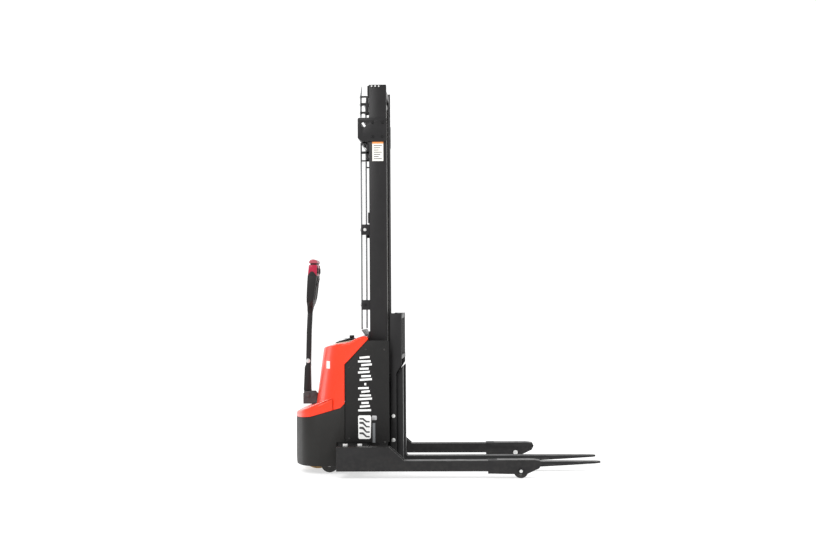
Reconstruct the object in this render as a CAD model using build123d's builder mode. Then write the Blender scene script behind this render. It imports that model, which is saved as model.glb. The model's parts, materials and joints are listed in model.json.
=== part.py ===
from build123d import *
from math import sqrt
import os

# Straddle walkie stacker with a two-stage mast, forks lowered, tiller upright.
# +X points to the fork tips, +Y to the operator's left facing the forks, +Z up.
# The origin is on the floor, under the middle of the bounding box. Millimetres.

# ---- driving dimensions ----
REAR_X = -876.0
TIP_X = 876.0
LEG_OUT = 610.0
LEG_IN = 510.0
LEG_LOW = 40.0
LEG_TOP = 97.0
LEG_NOSE_X = 524.0
BLOCK_REAR_X = -600.0
BLOCK_FRONT_X = -309.0
BLOCK_TOP = 172.0
LOAD_WHEEL_X = 412.0
LOAD_WHEEL_R = 40.0

BODY_HALF = 360.0
BODY_CORNER_R = 130.0
CROWN_R = 750.0
SHELL = 5.0
SKIRT_FRONT_X = -618.0
COVER_FRONT_X = -320.0

MAST_TOP = 2212.0
MAST_REAR_X = -432.0
MAST_FRONT_X = -332.0
OUTER_HALF = 245.0
OUTER_FLANGE = 40.0
OUTER_WEB = 8.0
OUTER_THICK = 11.0
INNER_REAR_X = -427.0
INNER_FRONT_X = -337.0
INNER_HALF = 202.0
INNER_FLANGE = 40.0
INNER_WEB = 8.0
INNER_THICK = 9.0
INNER_TOP = 2196.0
MAST_MID_X = (MAST_REAR_X + MAST_FRONT_X) / 2

CYLINDER_Y = 100.0
CYLINDER_X = -398.0
SHEAVE_Y = 45.0
SHEAVE_X = -381.0
SHEAVE_Z = 2112.0
SHEAVE_R = 35.0
CHAIN_ANCHOR_Z = 1900.0
GUARD_X = -482.0
CROSSHEAD_Z = 2156.0

CARRIAGE_HALF = 270.0
CARRIAGE_REAR_X = -316.0
BAR_FRONT_X = -282.0
BACKREST_FRONT_X = -252.0
BACKREST_TOP = 904.0
FORK_FRONT_X = -246.0
FORK_Y = 190.0
FORK_WIDTH = 100.0
FORK_THICK = 35.0
FORK_LOW = 20.0
SHANK_TOP = 600.0
HOOK_TOP = 560.0

STEER_X = -752.0
DRIVE_WHEEL_R = 105.0
DRIVE_WHEEL_HALF = 35.0
DECK_Z = 240.0
CASTER_X = -690.0
CASTER_Y = 250.0
CASTER_R = 50.0
CASTER_TRAIL = 25.0

TILLER_PIVOT_X = -809.0
TILLER_PIVOT_Z = 424.0

os.makedirs("parts", exist_ok=True)


def save(part, name):
    part.label = name
    export_step(part, f"parts/{name}.step")


# ---- building blocks, each used inside a BuildPart ----
def block(x0, x1, y0, y1, z0, z1, mode=Mode.ADD):
    with Locations(((x0 + x1) / 2, (y0 + y1) / 2, (z0 + z1) / 2)):
        Box(x1 - x0, y1 - y0, z1 - z0, mode=mode)


def both_sides(x0, x1, y0, y1, z0, z1, mode=Mode.ADD):
    block(x0, x1, y0, y1, z0, z1, mode)
    block(x0, x1, -y1, -y0, z0, z1, mode)


TURNS = {"x": (0, 90, 0), "y": (90, 0, 0), "z": (0, 0, 0)}


def bar(centre, radius, length, axis="z", mode=Mode.ADD):
    with Locations(Location(centre, TURNS[axis])):
        Cylinder(radius, length, mode=mode)


def side_profile(points, y0, y1, mode=Mode.ADD):
    with BuildSketch(Plane.XZ.offset(-y1)) as outline:
        with BuildLine():
            Polyline(*points, close=True)
        make_face()
    extrude(outline.sketch, amount=y1 - y0, mode=mode)


def crowned_plan(z, half, rear, front_x, corner):
    """A plan with straight sides, a gently crowned rear and rounded rear corners."""
    side_x = rear + CROWN_R - sqrt(CROWN_R**2 - half**2)
    with BuildSketch(Plane.XY.offset(z)) as outline:
        with BuildLine():
            ThreePointArc((side_x, -half), (rear, 0), (side_x, half))
            Polyline((side_x, half), (front_x, half), (front_x, -half), (side_x, -half))
        make_face()
        fillet(outline.vertices().filter_by(lambda v: v.X < side_x + 1), radius=corner)
    return outline.sketch


def body_plan(inset, front_x, z0, z1, mode):
    """The body's plan, pushed upright from z0 to z1."""
    plan = crowned_plan(z0, BODY_HALF - inset, REAR_X + inset, front_x, BODY_CORNER_R - inset)
    extrude(plan, amount=z1 - z0, mode=mode)


def hex_bolt(x, y, z, across, head, shank_r, shank):
    """A hexagon bolt whose head stands on z."""
    with BuildSketch(Plane.XY.offset(z)) as outline:
        with Locations((x, y)):
            RegularPolygon(across / sqrt(3), 6)
    extrude(outline.sketch, amount=head)
    bar((x, y, z - shank / 2), shank_r, shank)


# ---- chassis ----
FRAME_HALF = 340.0
FRAME_WALL = 8.0
BEAM_REAR_X = -592.0
BEAM_FRONT_X = -452.0
BEAM_LOW = 56.0
BEAM_TOP = 150.0
SLEW_HOLE_R = 95.0

with BuildPart() as chassis_frame:
    block(BEAM_REAR_X, BEAM_FRONT_X, -LEG_OUT + 12, LEG_OUT - 12, BEAM_LOW, BEAM_TOP)
    block(BEAM_REAR_X + 8, BEAM_FRONT_X - 8, -LEG_OUT, LEG_OUT, BEAM_LOW + 8, BEAM_TOP - 8, Mode.SUBTRACT)
    for side in (-1, 1):
        wall = sorted((side * FRAME_HALF, side * (FRAME_HALF - FRAME_WALL)))
        side_profile(
            [(-726, DECK_Z - 60), (-592, 60), (-450, 60), (-450, 300), (-592, 300), (-726, DECK_Z + 12)],
            wall[0], wall[1],
        )
        web = sorted((side * 200, side * 192))
        side_profile([(-726, 252), (-610, 252), (-610, 300), (-592, 300), (-592, 150)], web[0], web[1])
    # deck, stepped to follow the skirt's rounded rear
    for deck_rear_x, deck_half in ((-846, 120), (-800, 250), (-740, FRAME_HALF)):
        block(deck_rear_x, BEAM_REAR_X, -deck_half, deck_half, DECK_Z, DECK_Z + 12)
    block(BEAM_REAR_X, BEAM_REAR_X + 8, -FRAME_HALF, FRAME_HALF, BEAM_TOP, 300)
    bar((STEER_X, 0, DECK_Z + 6), SLEW_HOLE_R, 20, "z", Mode.SUBTRACT)
    # mast seat: firewall plate and two feet that carry the mast channels
    block(-450, -440, -FRAME_HALF, FRAME_HALF, BEAM_LOW, 700)
    block(-451, -439, -180, 180, 460, 640, Mode.SUBTRACT)
    both_sides(-440, MAST_FRONT_X, OUTER_HALF + 1, OUTER_HALF + 15, 60, 330)
    both_sides(-440, MAST_FRONT_X, OUTER_HALF - OUTER_FLANGE, OUTER_HALF + 15, 48, 60)
    # battery shelf
    block(BEAM_REAR_X + 8, -450, -FRAME_HALF + 8, FRAME_HALF - 8, 164, 170)
    # caster seats
    for side in (-1, 1):
        bar((CASTER_X, side * CASTER_Y, 160), 34, 12)
        block(CASTER_X, BEAM_REAR_X, side * CASTER_Y - 34, side * CASTER_Y + 34, 154, 166)
        block(CASTER_X + 20, -620, side * CASTER_Y - 6, side * CASTER_Y + 6, 166, DECK_Z)
        bar((CASTER_X, side * CASTER_Y, 160), 12.1, 30, "z", Mode.SUBTRACT)
    # shelf over the battery for the hydraulic power pack
    block(-560, -450, -FRAME_HALF + 10, FRAME_HALF - 10, 436, 442)
save(chassis_frame.part, "chassis_frame")

# The skirt and the hood share the body's plan and meet along this sloping line.
SEAM = [(REAR_X - 4, 312), (-851, 313), (-768, 322), (-693, 344), (-595, 372), (-571, 397)]
SEAM_GAP = 2.0

with BuildPart() as rear_skirt:
    body_plan(0, SKIRT_FRONT_X + 47, 44, 420, Mode.ADD)
    body_plan(SHELL, SKIRT_FRONT_X + 60, 40, 430, Mode.SUBTRACT)
    side_profile(
        [(x, z - SEAM_GAP) for x, z in SEAM] + [(-560, 395), (-560, 500), (REAR_X - 4, 500)],
        -BODY_HALF - 5, BODY_HALF + 5, Mode.SUBTRACT,
    )
    side_profile(
        [(SKIRT_FRONT_X, 30), (SKIRT_FRONT_X, 178), (-560, 178), (-560, 30)],
        -BODY_HALF - 5, BODY_HALF + 5, Mode.SUBTRACT,
    )
    side_profile(
        [(REAR_X - 5, 120), (REAR_X - 5, 30), (-858, 30), (-866, 60), (REAR_X, 120)],
        -BODY_HALF - 5, BODY_HALF + 5, Mode.SUBTRACT,
    )
    both_sides(-700, -640, FRAME_HALF + 1, BODY_HALF - SHELL + 1, 190, 198)
save(rear_skirt.part, "rear_skirt")

# The tower is the hood's upper part. Its rear face leans forward as it rises from the apron.
TOWER_REAR_X = -761.0
TOWER_FOOT_Z = 371.0
TOWER_LEAN = 0.139
TOWER_CORNER_R = 110.0
TOWER_CEILING = 800.0
TOWER_TOP = [
    (-446, 772), (-491, 770), (-514, 759), (-540, 744), (-600, 734), (-640, 727), (-680, 716), (-760, 684),
]
TOWER_FRONT = [(-571, 618), (-547, 641), (-443, 753), (-436, 762), (-446, 772)]
TOWER_RIM_R = 14.0
APRON_TOP = [(-640, 431), (REAR_X - 6, 333.5)]
APRON_RIM_R = 22.0
RECESS_R = 104.0
RECESS_FLOOR = 372.0
PANEL_HALF = 94.0
PANEL_REAR_X = -641.0
PANEL_FRONT = -537.0


def leaning_plan(inset, z0, mode):
    """The tower's plan, pushed up along its lean."""
    rear = TOWER_REAR_X + inset + TOWER_LEAN * (z0 - TOWER_FOOT_Z)
    plan = crowned_plan(z0, BODY_HALF - inset, rear, -430, TOWER_CORNER_R - inset)
    extrude(plan, amount=(TOWER_CEILING - z0) * sqrt(1 + TOWER_LEAN**2), dir=(TOWER_LEAN, 0, 1), mode=mode)


def topped(top, rest, half, mode):
    """Keep what lies inside a side outline with a smooth top line."""
    with BuildSketch(Plane.XZ.offset(-half)) as outline:
        with BuildLine():
            Spline(*top)
            Polyline(top[-1], *rest, top[0])
        make_face()
    extrude(outline.sketch, amount=2 * half, mode=mode)


def rim(part, low, high):
    """The edges round the upward faces whose middle lies between low and high."""
    top = part.faces().filter_by(lambda f: f.normal_at().Z > 0.5 and low < f.center().Z < high)
    return top.edges()


with BuildPart() as hood:
    body_plan(0, -600, 306, 440, Mode.ADD)
    side_profile(
        SEAM[:4] + [(-640, 359)] + APRON_TOP, -BODY_HALF - 1, BODY_HALF + 1, Mode.INTERSECT,
    )
    fillet(rim(hood.part, 300, 440).filter_by(lambda e: e.center().X < -640.5), radius=APRON_RIM_R)
    with BuildPart(mode=Mode.PRIVATE) as tower:
        leaning_plan(0, 306, Mode.ADD)
        topped(
            TOWER_TOP, [(-790, 684), (-790, 320)] + SEAM[2:] + TOWER_FRONT[:-1],
            BODY_HALF + 1, Mode.INTERSECT,
        )
        fillet(
            rim(tower.part, 600, 800).filter_by(lambda e: e.center().X < -448), radius=TOWER_RIM_R,
        )
    add(tower.part)
    # hollow: the same shapes moved in by the shell's thickness
    with BuildPart(mode=Mode.PRIVATE) as cavity:
        leaning_plan(SHELL, 280, Mode.ADD)
        topped(
            [(-400, 766)] + [(x, z - SHELL) for x, z in TOWER_TOP],
            [(-790, 679), (-790, 280), (-540, 280), (-540, 636)],
            BODY_HALF + 1, Mode.INTERSECT,
        )
    with BuildPart(mode=Mode.PRIVATE) as apron_cavity:
        body_plan(SHELL, -600, 290, 440, Mode.ADD)
        side_profile(
            [(REAR_X - 4, 280), (-640, 280)] + [(x, z - SHELL - 1) for x, z in APRON_TOP], -BODY_HALF - 1,
            BODY_HALF + 1, Mode.INTERSECT,
        )
    # bay behind the tiller, where its base swings
    with BuildPart(mode=Mode.PRIVATE) as bay:
        bar((STEER_X, 0, RECESS_FLOOR + 200), RECESS_R, 400)
        block(-900, STEER_X, -RECESS_R, RECESS_R, RECESS_FLOOR, RECESS_FLOOR + 400)
    with BuildPart(mode=Mode.PRIVATE) as bay_wall:
        bar((STEER_X, 0, RECESS_FLOOR + 205), RECESS_R + SHELL, 420)
        block(-900, STEER_X, -RECESS_R - SHELL, RECESS_R + SHELL, RECESS_FLOOR - SHELL, RECESS_FLOOR + 415)
    add(cavity.part - bay_wall.part, mode=Mode.SUBTRACT)
    add(apron_cavity.part - bay_wall.part, mode=Mode.SUBTRACT)
    add(bay.part, mode=Mode.SUBTRACT)
    bar((STEER_X, 0, 360), 48, 60, "z", Mode.SUBTRACT)
    # opening for the instrument panel
    block(PANEL_REAR_X - 1, PANEL_FRONT + 1, -PANEL_HALF - 1, PANEL_HALF + 1, 690, 800, Mode.SUBTRACT)
    # notch that the mast guard's foot hangs into
    block(-487, -430, -229, 229, 735, 800, Mode.SUBTRACT)
save(hood.part, "hood")

# Each side cover runs forward past the mast and has a stiffening lip at its front edge.
PANEL_OUTLINE = [
    (-569, 180), (-569, 616), (-545, 639), (-441, 751), (COVER_FRONT_X, 751), (COVER_FRONT_X, 180),
]
for name, side in (("side_panel_left", 1), ("side_panel_right", -1)):
    with BuildPart() as side_panel:
        faces = sorted((side * (BODY_HALF - 4), side * (BODY_HALF - 8)))
        side_profile(PANEL_OUTLINE, faces[0], faces[1])
        lips = sorted((side * (BODY_HALF - 8), side * (BODY_HALF - 30)))
        block(COVER_FRONT_X - 4, COVER_FRONT_X, lips[0], lips[1], 180, 748)
        # stays that hook onto the firewall's edge
        stay = sorted((side * (BODY_HALF - 8), side * (FRAME_HALF + 1)))
        for low in (260, 600):
            block(-449, -443, stay[0], stay[1], low, low + 40)
    save(side_panel.part, name)

# ---- instrument panel on the hood ----
KEY_AT = (-600.0, 62.0)
PLUNGER_X = -553.0
POD_TOP = 757.0

with BuildPart() as instrument_panel:
    side_profile(
        [(PANEL_REAR_X, 706), (PANEL_FRONT, 706), (PANEL_FRONT, POD_TOP - 2), (PANEL_FRONT - 2, POD_TOP),
         (-575, POD_TOP), (PANEL_REAR_X, 736)],
        -PANEL_HALF, PANEL_HALF,
    )
    # display window, key well and the plunger's bore
    side_profile([(-632, 736), (-584, 751), (-584, 780), (-632, 780)], -60, 24, Mode.SUBTRACT)
    bar((*KEY_AT, 762), 15, 40, "z", Mode.SUBTRACT)
    bar((*KEY_AT, 730), 11.2, 60, "z", Mode.SUBTRACT)
    bar((PLUNGER_X, 0, POD_TOP), 8.2, 40, "z", Mode.SUBTRACT)
    block(PANEL_REAR_X + 4, PANEL_FRONT - 4, -PANEL_HALF + 4, PANEL_HALF - 4, 700, 724, Mode.SUBTRACT)
save(instrument_panel.part, "instrument_panel")

with BuildPart() as key_switch:
    bar((*KEY_AT, 734), 11, 20)
    block(KEY_AT[0] - 2, KEY_AT[0] + 2, KEY_AT[1] - 8, KEY_AT[1] + 8, 744, 749)
save(key_switch.part, "key_switch")

with BuildPart() as power_disconnect:
    bar((PLUNGER_X, 0, POD_TOP - 6), 8, 16)
    block(PLUNGER_X - 13, PLUNGER_X + 13, -18, 18, POD_TOP + 1, POD_TOP + 17)
    bar((PLUNGER_X, 0, POD_TOP + 1), 8, 4)
    uprights = power_disconnect.edges().filter_by(Axis.Z)
    fillet(uprights.filter_by(lambda e: e.center().Z > POD_TOP + 6), radius=4)
save(power_disconnect.part, "power_disconnect")

# ---- straddle legs ----
PLATE_X0 = 232.0
PLATE_THICK = 10.0
AXLE_R = 10.0


def leg(side):
    """One straddle leg: a box section with a tall rear block and a fork for its wheel."""
    outer = sorted((side * LEG_OUT, side * (LEG_OUT - PLATE_THICK)))
    inner = sorted((side * LEG_IN, side * (LEG_IN + PLATE_THICK)))
    span = sorted((side * LEG_IN, side * LEG_OUT))
    tube = [
        (BLOCK_FRONT_X, LEG_LOW), (PLATE_X0 + 60, LEG_LOW), (PLATE_X0 + 60, LEG_TOP),
        (BLOCK_FRONT_X, LEG_TOP),
    ]
    side_profile(tube, span[0], span[1])
    side_profile(
        [(BLOCK_FRONT_X - 1, LEG_LOW + 5), (PLATE_X0 + 55, LEG_LOW + 5), (PLATE_X0 + 55, LEG_TOP - 5),
         (BLOCK_FRONT_X - 1, LEG_TOP - 5)],
        span[0] + 5, span[1] - 5, Mode.SUBTRACT,
    )
    rear = [
        (BLOCK_REAR_X, LEG_LOW), (BLOCK_FRONT_X + 84, LEG_LOW), (BLOCK_FRONT_X + 84, LEG_TOP),
        (BLOCK_FRONT_X, BLOCK_TOP), (BLOCK_REAR_X, BLOCK_TOP),
    ]
    side_profile(rear, outer[0], outer[1])
    side_profile(rear, inner[0], inner[1])
    block(BLOCK_REAR_X, BLOCK_FRONT_X, span[0], span[1], BLOCK_TOP - 10, BLOCK_TOP)
    block(BLOCK_REAR_X, BLOCK_FRONT_X, span[0], span[1], LEG_LOW, LEG_LOW + 10)
    block(BLOCK_FRONT_X - 8, BLOCK_FRONT_X, span[0], span[1], LEG_LOW, BLOCK_TOP)
    # the cross beam's socket
    socket = sorted((side * (LEG_IN - 5), side * (LEG_OUT - PLATE_THICK)))
    block(
        BEAM_REAR_X - 0.5, BEAM_FRONT_X + 0.5, socket[0], socket[1], BEAM_LOW - 0.5, BEAM_TOP + 0.5,
        Mode.SUBTRACT,
    )
    wheel_plate = [
        (PLATE_X0, 27), (LOAD_WHEEL_X - 30, 24), (LOAD_WHEEL_X + 24, 20), (LEG_NOSE_X - 12, 56),
        (LEG_NOSE_X, 80), (LEG_NOSE_X - 8, 96), (LEG_NOSE_X - 46, 101), (PLATE_X0, 101),
    ]
    side_profile(wheel_plate, outer[0], outer[1])
    side_profile(wheel_plate, inner[0], inner[1])
    block(PLATE_X0 + 50, LEG_NOSE_X - 40, span[0], span[1], 95, 101)
    side_profile(
        [(LEG_NOSE_X - 46, 95), (LEG_NOSE_X - 12, 92), (LEG_NOSE_X - 8, 96), (LEG_NOSE_X - 46, 101)],
        span[0], span[1],
    )
    bar((LOAD_WHEEL_X, side * 560, LOAD_WHEEL_R), AXLE_R, 130, "y", Mode.SUBTRACT)
    for x in (BLOCK_REAR_X + 47, BLOCK_REAR_X + 126):
        bar((x, side * 560, BLOCK_TOP - 5), 8.2, 40, "z", Mode.SUBTRACT)


for name, side in (("left_leg", 1), ("right_leg", -1)):
    with BuildPart() as straddle_leg:
        leg(side)
    save(straddle_leg.part, name)

for name, side in (("left_load_wheel", 1), ("right_load_wheel", -1)):
    with BuildPart() as load_wheel:
        bar((LOAD_WHEEL_X, side * 560, LOAD_WHEEL_R), LOAD_WHEEL_R, 70, "y")
        bar((LOAD_WHEEL_X, side * 560, LOAD_WHEEL_R), 22, 76, "y")
        chamfer(load_wheel.edges().filter_by(GeomType.CIRCLE).filter_by(
            lambda e: e.radius > LOAD_WHEEL_R - 1), length=3)
        bar((LOAD_WHEEL_X, side * 560, LOAD_WHEEL_R), AXLE_R + 0.05, 90, "y", Mode.SUBTRACT)
    save(load_wheel.part, name)

# ---- mast, outer stage ----
for name, side in (("outer_channel_left", 1), ("outer_channel_right", -1)):
    with BuildPart() as outer_channel:
        web = sorted((side * OUTER_HALF, side * (OUTER_HALF - OUTER_WEB)))
        flange = sorted((side * OUTER_HALF, side * (OUTER_HALF - OUTER_FLANGE)))
        block(MAST_REAR_X, MAST_FRONT_X, web[0], web[1], 60, MAST_TOP)
        block(MAST_REAR_X, MAST_REAR_X + OUTER_THICK, flange[0], flange[1], 60, MAST_TOP)
        block(MAST_FRONT_X - OUTER_THICK, MAST_FRONT_X, flange[0], flange[1], 60, MAST_TOP)
    save(outer_channel.part, name)

CROSSBAR_REAR_X = -440.0
CROSSBAR_HEIGHTS = (
    (110, 200), (740, 800), (1420, 1480), (CHAIN_ANCHOR_Z - 60, CHAIN_ANCHOR_Z - 10), (2152, 2206),
)
GUARD_BRACKETS = ((924, 980), (1352, 1412), (2046, 2058), (2092, 2108), (2138, 2148))
CLAMP_Z = (1436.0, 1456.0)
JOINT_GAP = 0.05

with BuildPart() as mast_crossbars:
    for low, high in CROSSBAR_HEIGHTS:
        block(CROSSBAR_REAR_X + 0.1, MAST_REAR_X, -OUTER_HALF, OUTER_HALF, low, high)
    # chain anchor lugs and the cylinders' upper clamps, bolted to the bars' front faces
    for side in (-1, 1):
        block(
            MAST_REAR_X + JOINT_GAP, -406, side * SHEAVE_Y - 14, side * SHEAVE_Y + 14, CHAIN_ANCHOR_Z - 60,
            CHAIN_ANCHOR_Z - 40,
        )
        bar((SHEAVE_X - SHEAVE_R - 2, side * SHEAVE_Y, CHAIN_ANCHOR_Z - 30), 5, 60)
        clamp = (side * CYLINDER_Y - 38, side * CYLINDER_Y + 38)
        block(MAST_REAR_X + JOINT_GAP, CYLINDER_X + 6, *clamp, *CLAMP_Z)
        bar((CYLINDER_X, side * CYLINDER_Y, CLAMP_Z[0] + 10), 25, 40, "z", Mode.SUBTRACT)
    # angle brackets that carry the guard
    for low, high in GUARD_BRACKETS:
        for side in (-1, 1):
            faces = sorted((side * (OUTER_HALF - 3), side * (OUTER_HALF - 9)))
            block(GUARD_X + 4, MAST_REAR_X, faces[0], faces[1], low, high)
            lips = sorted((side * (OUTER_HALF - 9), side * (OUTER_HALF - 35)))
            block(GUARD_X + 4, GUARD_X + 10, lips[0], lips[1], low, high)
    # beam that the cylinders stand on
    block(CROSSBAR_REAR_X, CYLINDER_X + 40, -CYLINDER_Y - 36, CYLINDER_Y + 36, 62, 78)
    web_half = OUTER_HALF - OUTER_FLANGE
    block(CROSSBAR_REAR_X, MAST_REAR_X, -web_half, web_half, 78 + JOINT_GAP, 109)
save(mast_crossbars.part, "mast_crossbars")

with BuildPart() as lifting_bracket:
    for side in (-1, 1):
        cheek = sorted((side * (OUTER_HALF + 8), side * OUTER_HALF))
        side_profile(
            [(-496, 1906), (-474, 1886), (MAST_FRONT_X, 1886), (MAST_FRONT_X, 2022), (-490, 2022),
             (-496, 2016)],
            cheek[0], cheek[1],
        )
    block(-496, -488, -OUTER_HALF - 8, OUTER_HALF + 8, 1906, 2016)
    bar((-462, 0, 1982), 14, 2 * OUTER_HALF + 60, "y", Mode.SUBTRACT)
save(lifting_bracket.part, "lifting_bracket")

with BuildPart() as mast_guard:
    side_profile(
        [(GUARD_X, 806), (GUARD_X + 4, 808), (GUARD_X + 4, 1880), (GUARD_X, 1880)], -225, 225,
    )
    side_profile([(GUARD_X, 806), (-446, 756), (-442, 758), (GUARD_X + 4, 808)], -225, 225)
    side_profile(
        [(GUARD_X, 2030), (GUARD_X + 4, 2030), (GUARD_X + 4, 2150), (GUARD_X + 12, 2206), (GUARD_X + 9, 2206),
         (GUARD_X, 2150)],
        -225, 225,
    )
save(mast_guard.part, "mast_guard")

BARREL_TOP = 1770.0

with BuildPart() as lift_cylinders:
    for side in (-1, 1):
        bar((CYLINDER_X, side * CYLINDER_Y, (78 + BARREL_TOP) / 2), 25, BARREL_TOP - 78)
        bore_z = (96 + BARREL_TOP) / 2 + 5
        bar((CYLINDER_X, side * CYLINDER_Y, bore_z), 20, BARREL_TOP - 86, "z", Mode.SUBTRACT)
        # gland nut that guides the rod
        with BuildSketch(Plane.XY.offset(BARREL_TOP)) as gland:
            with Locations((CYLINDER_X, side * CYLINDER_Y)):
                Circle(29)
                Circle(17.55, mode=Mode.SUBTRACT)
        extrude(gland.sketch, amount=34)
        # inlet boss
        bar((CYLINDER_X - 27, side * CYLINDER_Y, 480), 10, 12, "x")
save(lift_cylinders.part, "lift_cylinders")

# ---- energy and hydraulics under the hood ----
with BuildPart() as battery_pack:
    block(-582, -454, -322, 322, 170, 396)
    for y in (-240, -80, 80, 240):
        bar((-540, y, 400), 9, 8)
        bar((-496, y, 400), 9, 8)
    for y in (-161, 0, 161):
        block(-583, -453, y - 1, y + 1, 180, 398, Mode.SUBTRACT)
save(battery_pack.part, "battery_pack")

with BuildPart() as hydraulic_pump:
    bar((-530, -90, 526), 48, 168)
    bar((-530, -90, 616), 30, 12)
    block(-500, -470, -130, -60, 462, 500)
    for z in range(506, 571, 8):
        with BuildSketch(Plane.XY.offset(z)) as fin_slot:
            with Locations((-530, -90)):
                Circle(49)
                Circle(45.5, mode=Mode.SUBTRACT)
        extrude(fin_slot.sketch, amount=3, mode=Mode.SUBTRACT)
save(hydraulic_pump.part, "hydraulic_pump")

with BuildPart() as oil_tank:
    block(-560, -496, 40, 300, 442, 612)
    fillet(oil_tank.edges().filter_by(Axis.Z), radius=14)
    bar((-528, 260, 620), 14, 16)
save(oil_tank.part, "oil_tank")

with BuildPart() as motor_controller:
    block(-500, -462, -310, -190, 456, 640)
    for index in range(9):
        y = -300 + index * 12.5
        block(-462, -450, y, y + 4, 456, 640)
save(motor_controller.part, "motor_controller")

with BuildPart() as battery_charger:
    block(-500, -450, 196, 322, 452, 690)
    block(-512, -494, 190, 330, 440, 614, Mode.SUBTRACT)
    block(-452, -450, 60, 196, 620, 690)
save(battery_charger.part, "battery_charger")

HOSE_R = 6.0
with BuildPart() as hydraulic_hoses:
    for route in (
        [(-431, -CYLINDER_Y, 480), (-470, -CYLINDER_Y, 480)],
        [(-431, CYLINDER_Y, 480), (-485, CYLINDER_Y, 480), (-485, -60, 480)],
    ):
        with BuildLine() as hose_line:
            if len(route) > 2:
                FilletPolyline(*route, radius=34)
            else:
                Line(*route)
        with BuildSketch(Plane(origin=route[0], z_dir=(-1, 0, 0))) as hose_section:
            Circle(HOSE_R)
        sweep(hose_section.sketch, path=hose_line.line)
save(hydraulic_hoses.part, "hydraulic_hoses")

# ---- steered drive unit ----
FLANGE_R = SLEW_HOLE_R - 0.05

with BuildPart() as drive_gearbox:
    bar((STEER_X, 0, DECK_Z + 6), FLANGE_R, 12)
    bar((STEER_X, 0, DECK_Z + 17.2), 104, 9.8)
    bar((STEER_X, 0, DECK_Z + 11), 88, 22)
    bar((STEER_X, 0, DECK_Z - 10), 88, 20)
    block(STEER_X - 56, STEER_X + 56, 40, 84, 66, DECK_Z - 8)
    bar((STEER_X, 62, DRIVE_WHEEL_R), 60, 44, "y")
    block(STEER_X - 75, STEER_X + 75, -86, 86, 0, 44, Mode.SUBTRACT)
    bar((STEER_X, 40, DRIVE_WHEEL_R), 20.05, 60, "y", Mode.SUBTRACT)
save(drive_gearbox.part, "drive_gearbox")

with BuildPart() as drive_motor:
    bar((STEER_X, 0, 293), 66, 61.8)
    bar((STEER_X, 0, 329), 44, 10.2)
save(drive_motor.part, "drive_motor")

with BuildPart() as drive_hub:
    bar((STEER_X, 0, DRIVE_WHEEL_R), 78, 66, "y")
    bar((STEER_X, -33, DRIVE_WHEEL_R), 60, 20, "y", Mode.SUBTRACT)
    bar((STEER_X, 46, DRIVE_WHEEL_R), 20, 48, "y")
    with BuildSketch(Plane.XZ.offset(20)) as lug_holes:
        with Locations((STEER_X, DRIVE_WHEEL_R)):
            with PolarLocations(42, 5):
                Circle(7)
    extrude(lug_holes.sketch, amount=12)
save(drive_hub.part, "drive_hub")

with BuildPart() as drive_tyre:
    bar((STEER_X, 0, DRIVE_WHEEL_R), DRIVE_WHEEL_R, 2 * DRIVE_WHEEL_HALF, "y")
    chamfer(drive_tyre.edges().filter_by(GeomType.CIRCLE), length=4)
    bar((STEER_X, 0, DRIVE_WHEEL_R), 78, 80, "y", Mode.SUBTRACT)
save(drive_tyre.part, "drive_tyre")

BASE_LOW = 377.0
PIVOT_R = 10.0

with BuildPart() as tiller_base:
    # bridge over the motor, standing on the slewing flange
    for side in (-1, 1):
        block(STEER_X - 22, STEER_X + 22, side * 72.5 - 3.5, side * 72.5 + 3.5, DECK_Z + 22.1, 344)
    bar((STEER_X, 0, 340), 78, 8)
    bar((STEER_X, 0, 361), 38, 34)
    block(STEER_X - 85, STEER_X - 5, -36, 36, BASE_LOW, BASE_LOW + 14)
    bar((STEER_X, 0, BASE_LOW + 7), 40, 14)
    for side in (-1, 1):
        cheek = sorted((side * 24.3, side * 36))
        side_profile(
            [(-837, BASE_LOW), (-757, BASE_LOW), (-757, 436), (-770, 450), (-826, 450), (-837, 438)],
            cheek[0], cheek[1],
        )
    bar((TILLER_PIVOT_X, 0, TILLER_PIVOT_Z), PIVOT_R, 90, "y", Mode.SUBTRACT)
save(tiller_base.part, "tiller_base")

with BuildPart() as tiller_pivot_pin:
    bar((TILLER_PIVOT_X, 0, TILLER_PIVOT_Z), PIVOT_R, 74, "y")
    for side in (-1, 1):
        bar((TILLER_PIVOT_X, side * 38.5, TILLER_PIVOT_Z), 13, 3, "y")
save(tiller_pivot_pin.part, "tiller_pivot_pin")

SLEEVE_HALF = 24.0
TUBE_HALF = 17.0
SLEEVE_TOP = 606.0
ARM_TOP = 905.0

with BuildPart() as tiller_arm:
    side_profile(
        [(-831, TILLER_PIVOT_Z), (-835, 462), (-829, 590), (-822, SLEEVE_TOP), (-817, 800), (-811.5, ARM_TOP),
         (-783.5, ARM_TOP), (-789, 800), (-794, SLEEVE_TOP), (-795, 590), (-793, 462),
         (-788, TILLER_PIVOT_Z)],
        -SLEEVE_HALF, SLEEVE_HALF,
    )
    both_sides(-900, -700, TUBE_HALF, SLEEVE_HALF + 6, SLEEVE_TOP, 940, Mode.SUBTRACT)
    bar((TILLER_PIVOT_X, 0, TILLER_PIVOT_Z), 22, 2 * SLEEVE_HALF, "y")
    bar((TILLER_PIVOT_X, 0, TILLER_PIVOT_Z), PIVOT_R + 0.05, 60, "y", Mode.SUBTRACT)
    # clamp screw that holds the tube in its socket
    bar((-809, 0, 627), 10, 2 * TUBE_HALF + 12, "y")
save(tiller_arm.part, "tiller_arm")

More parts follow.
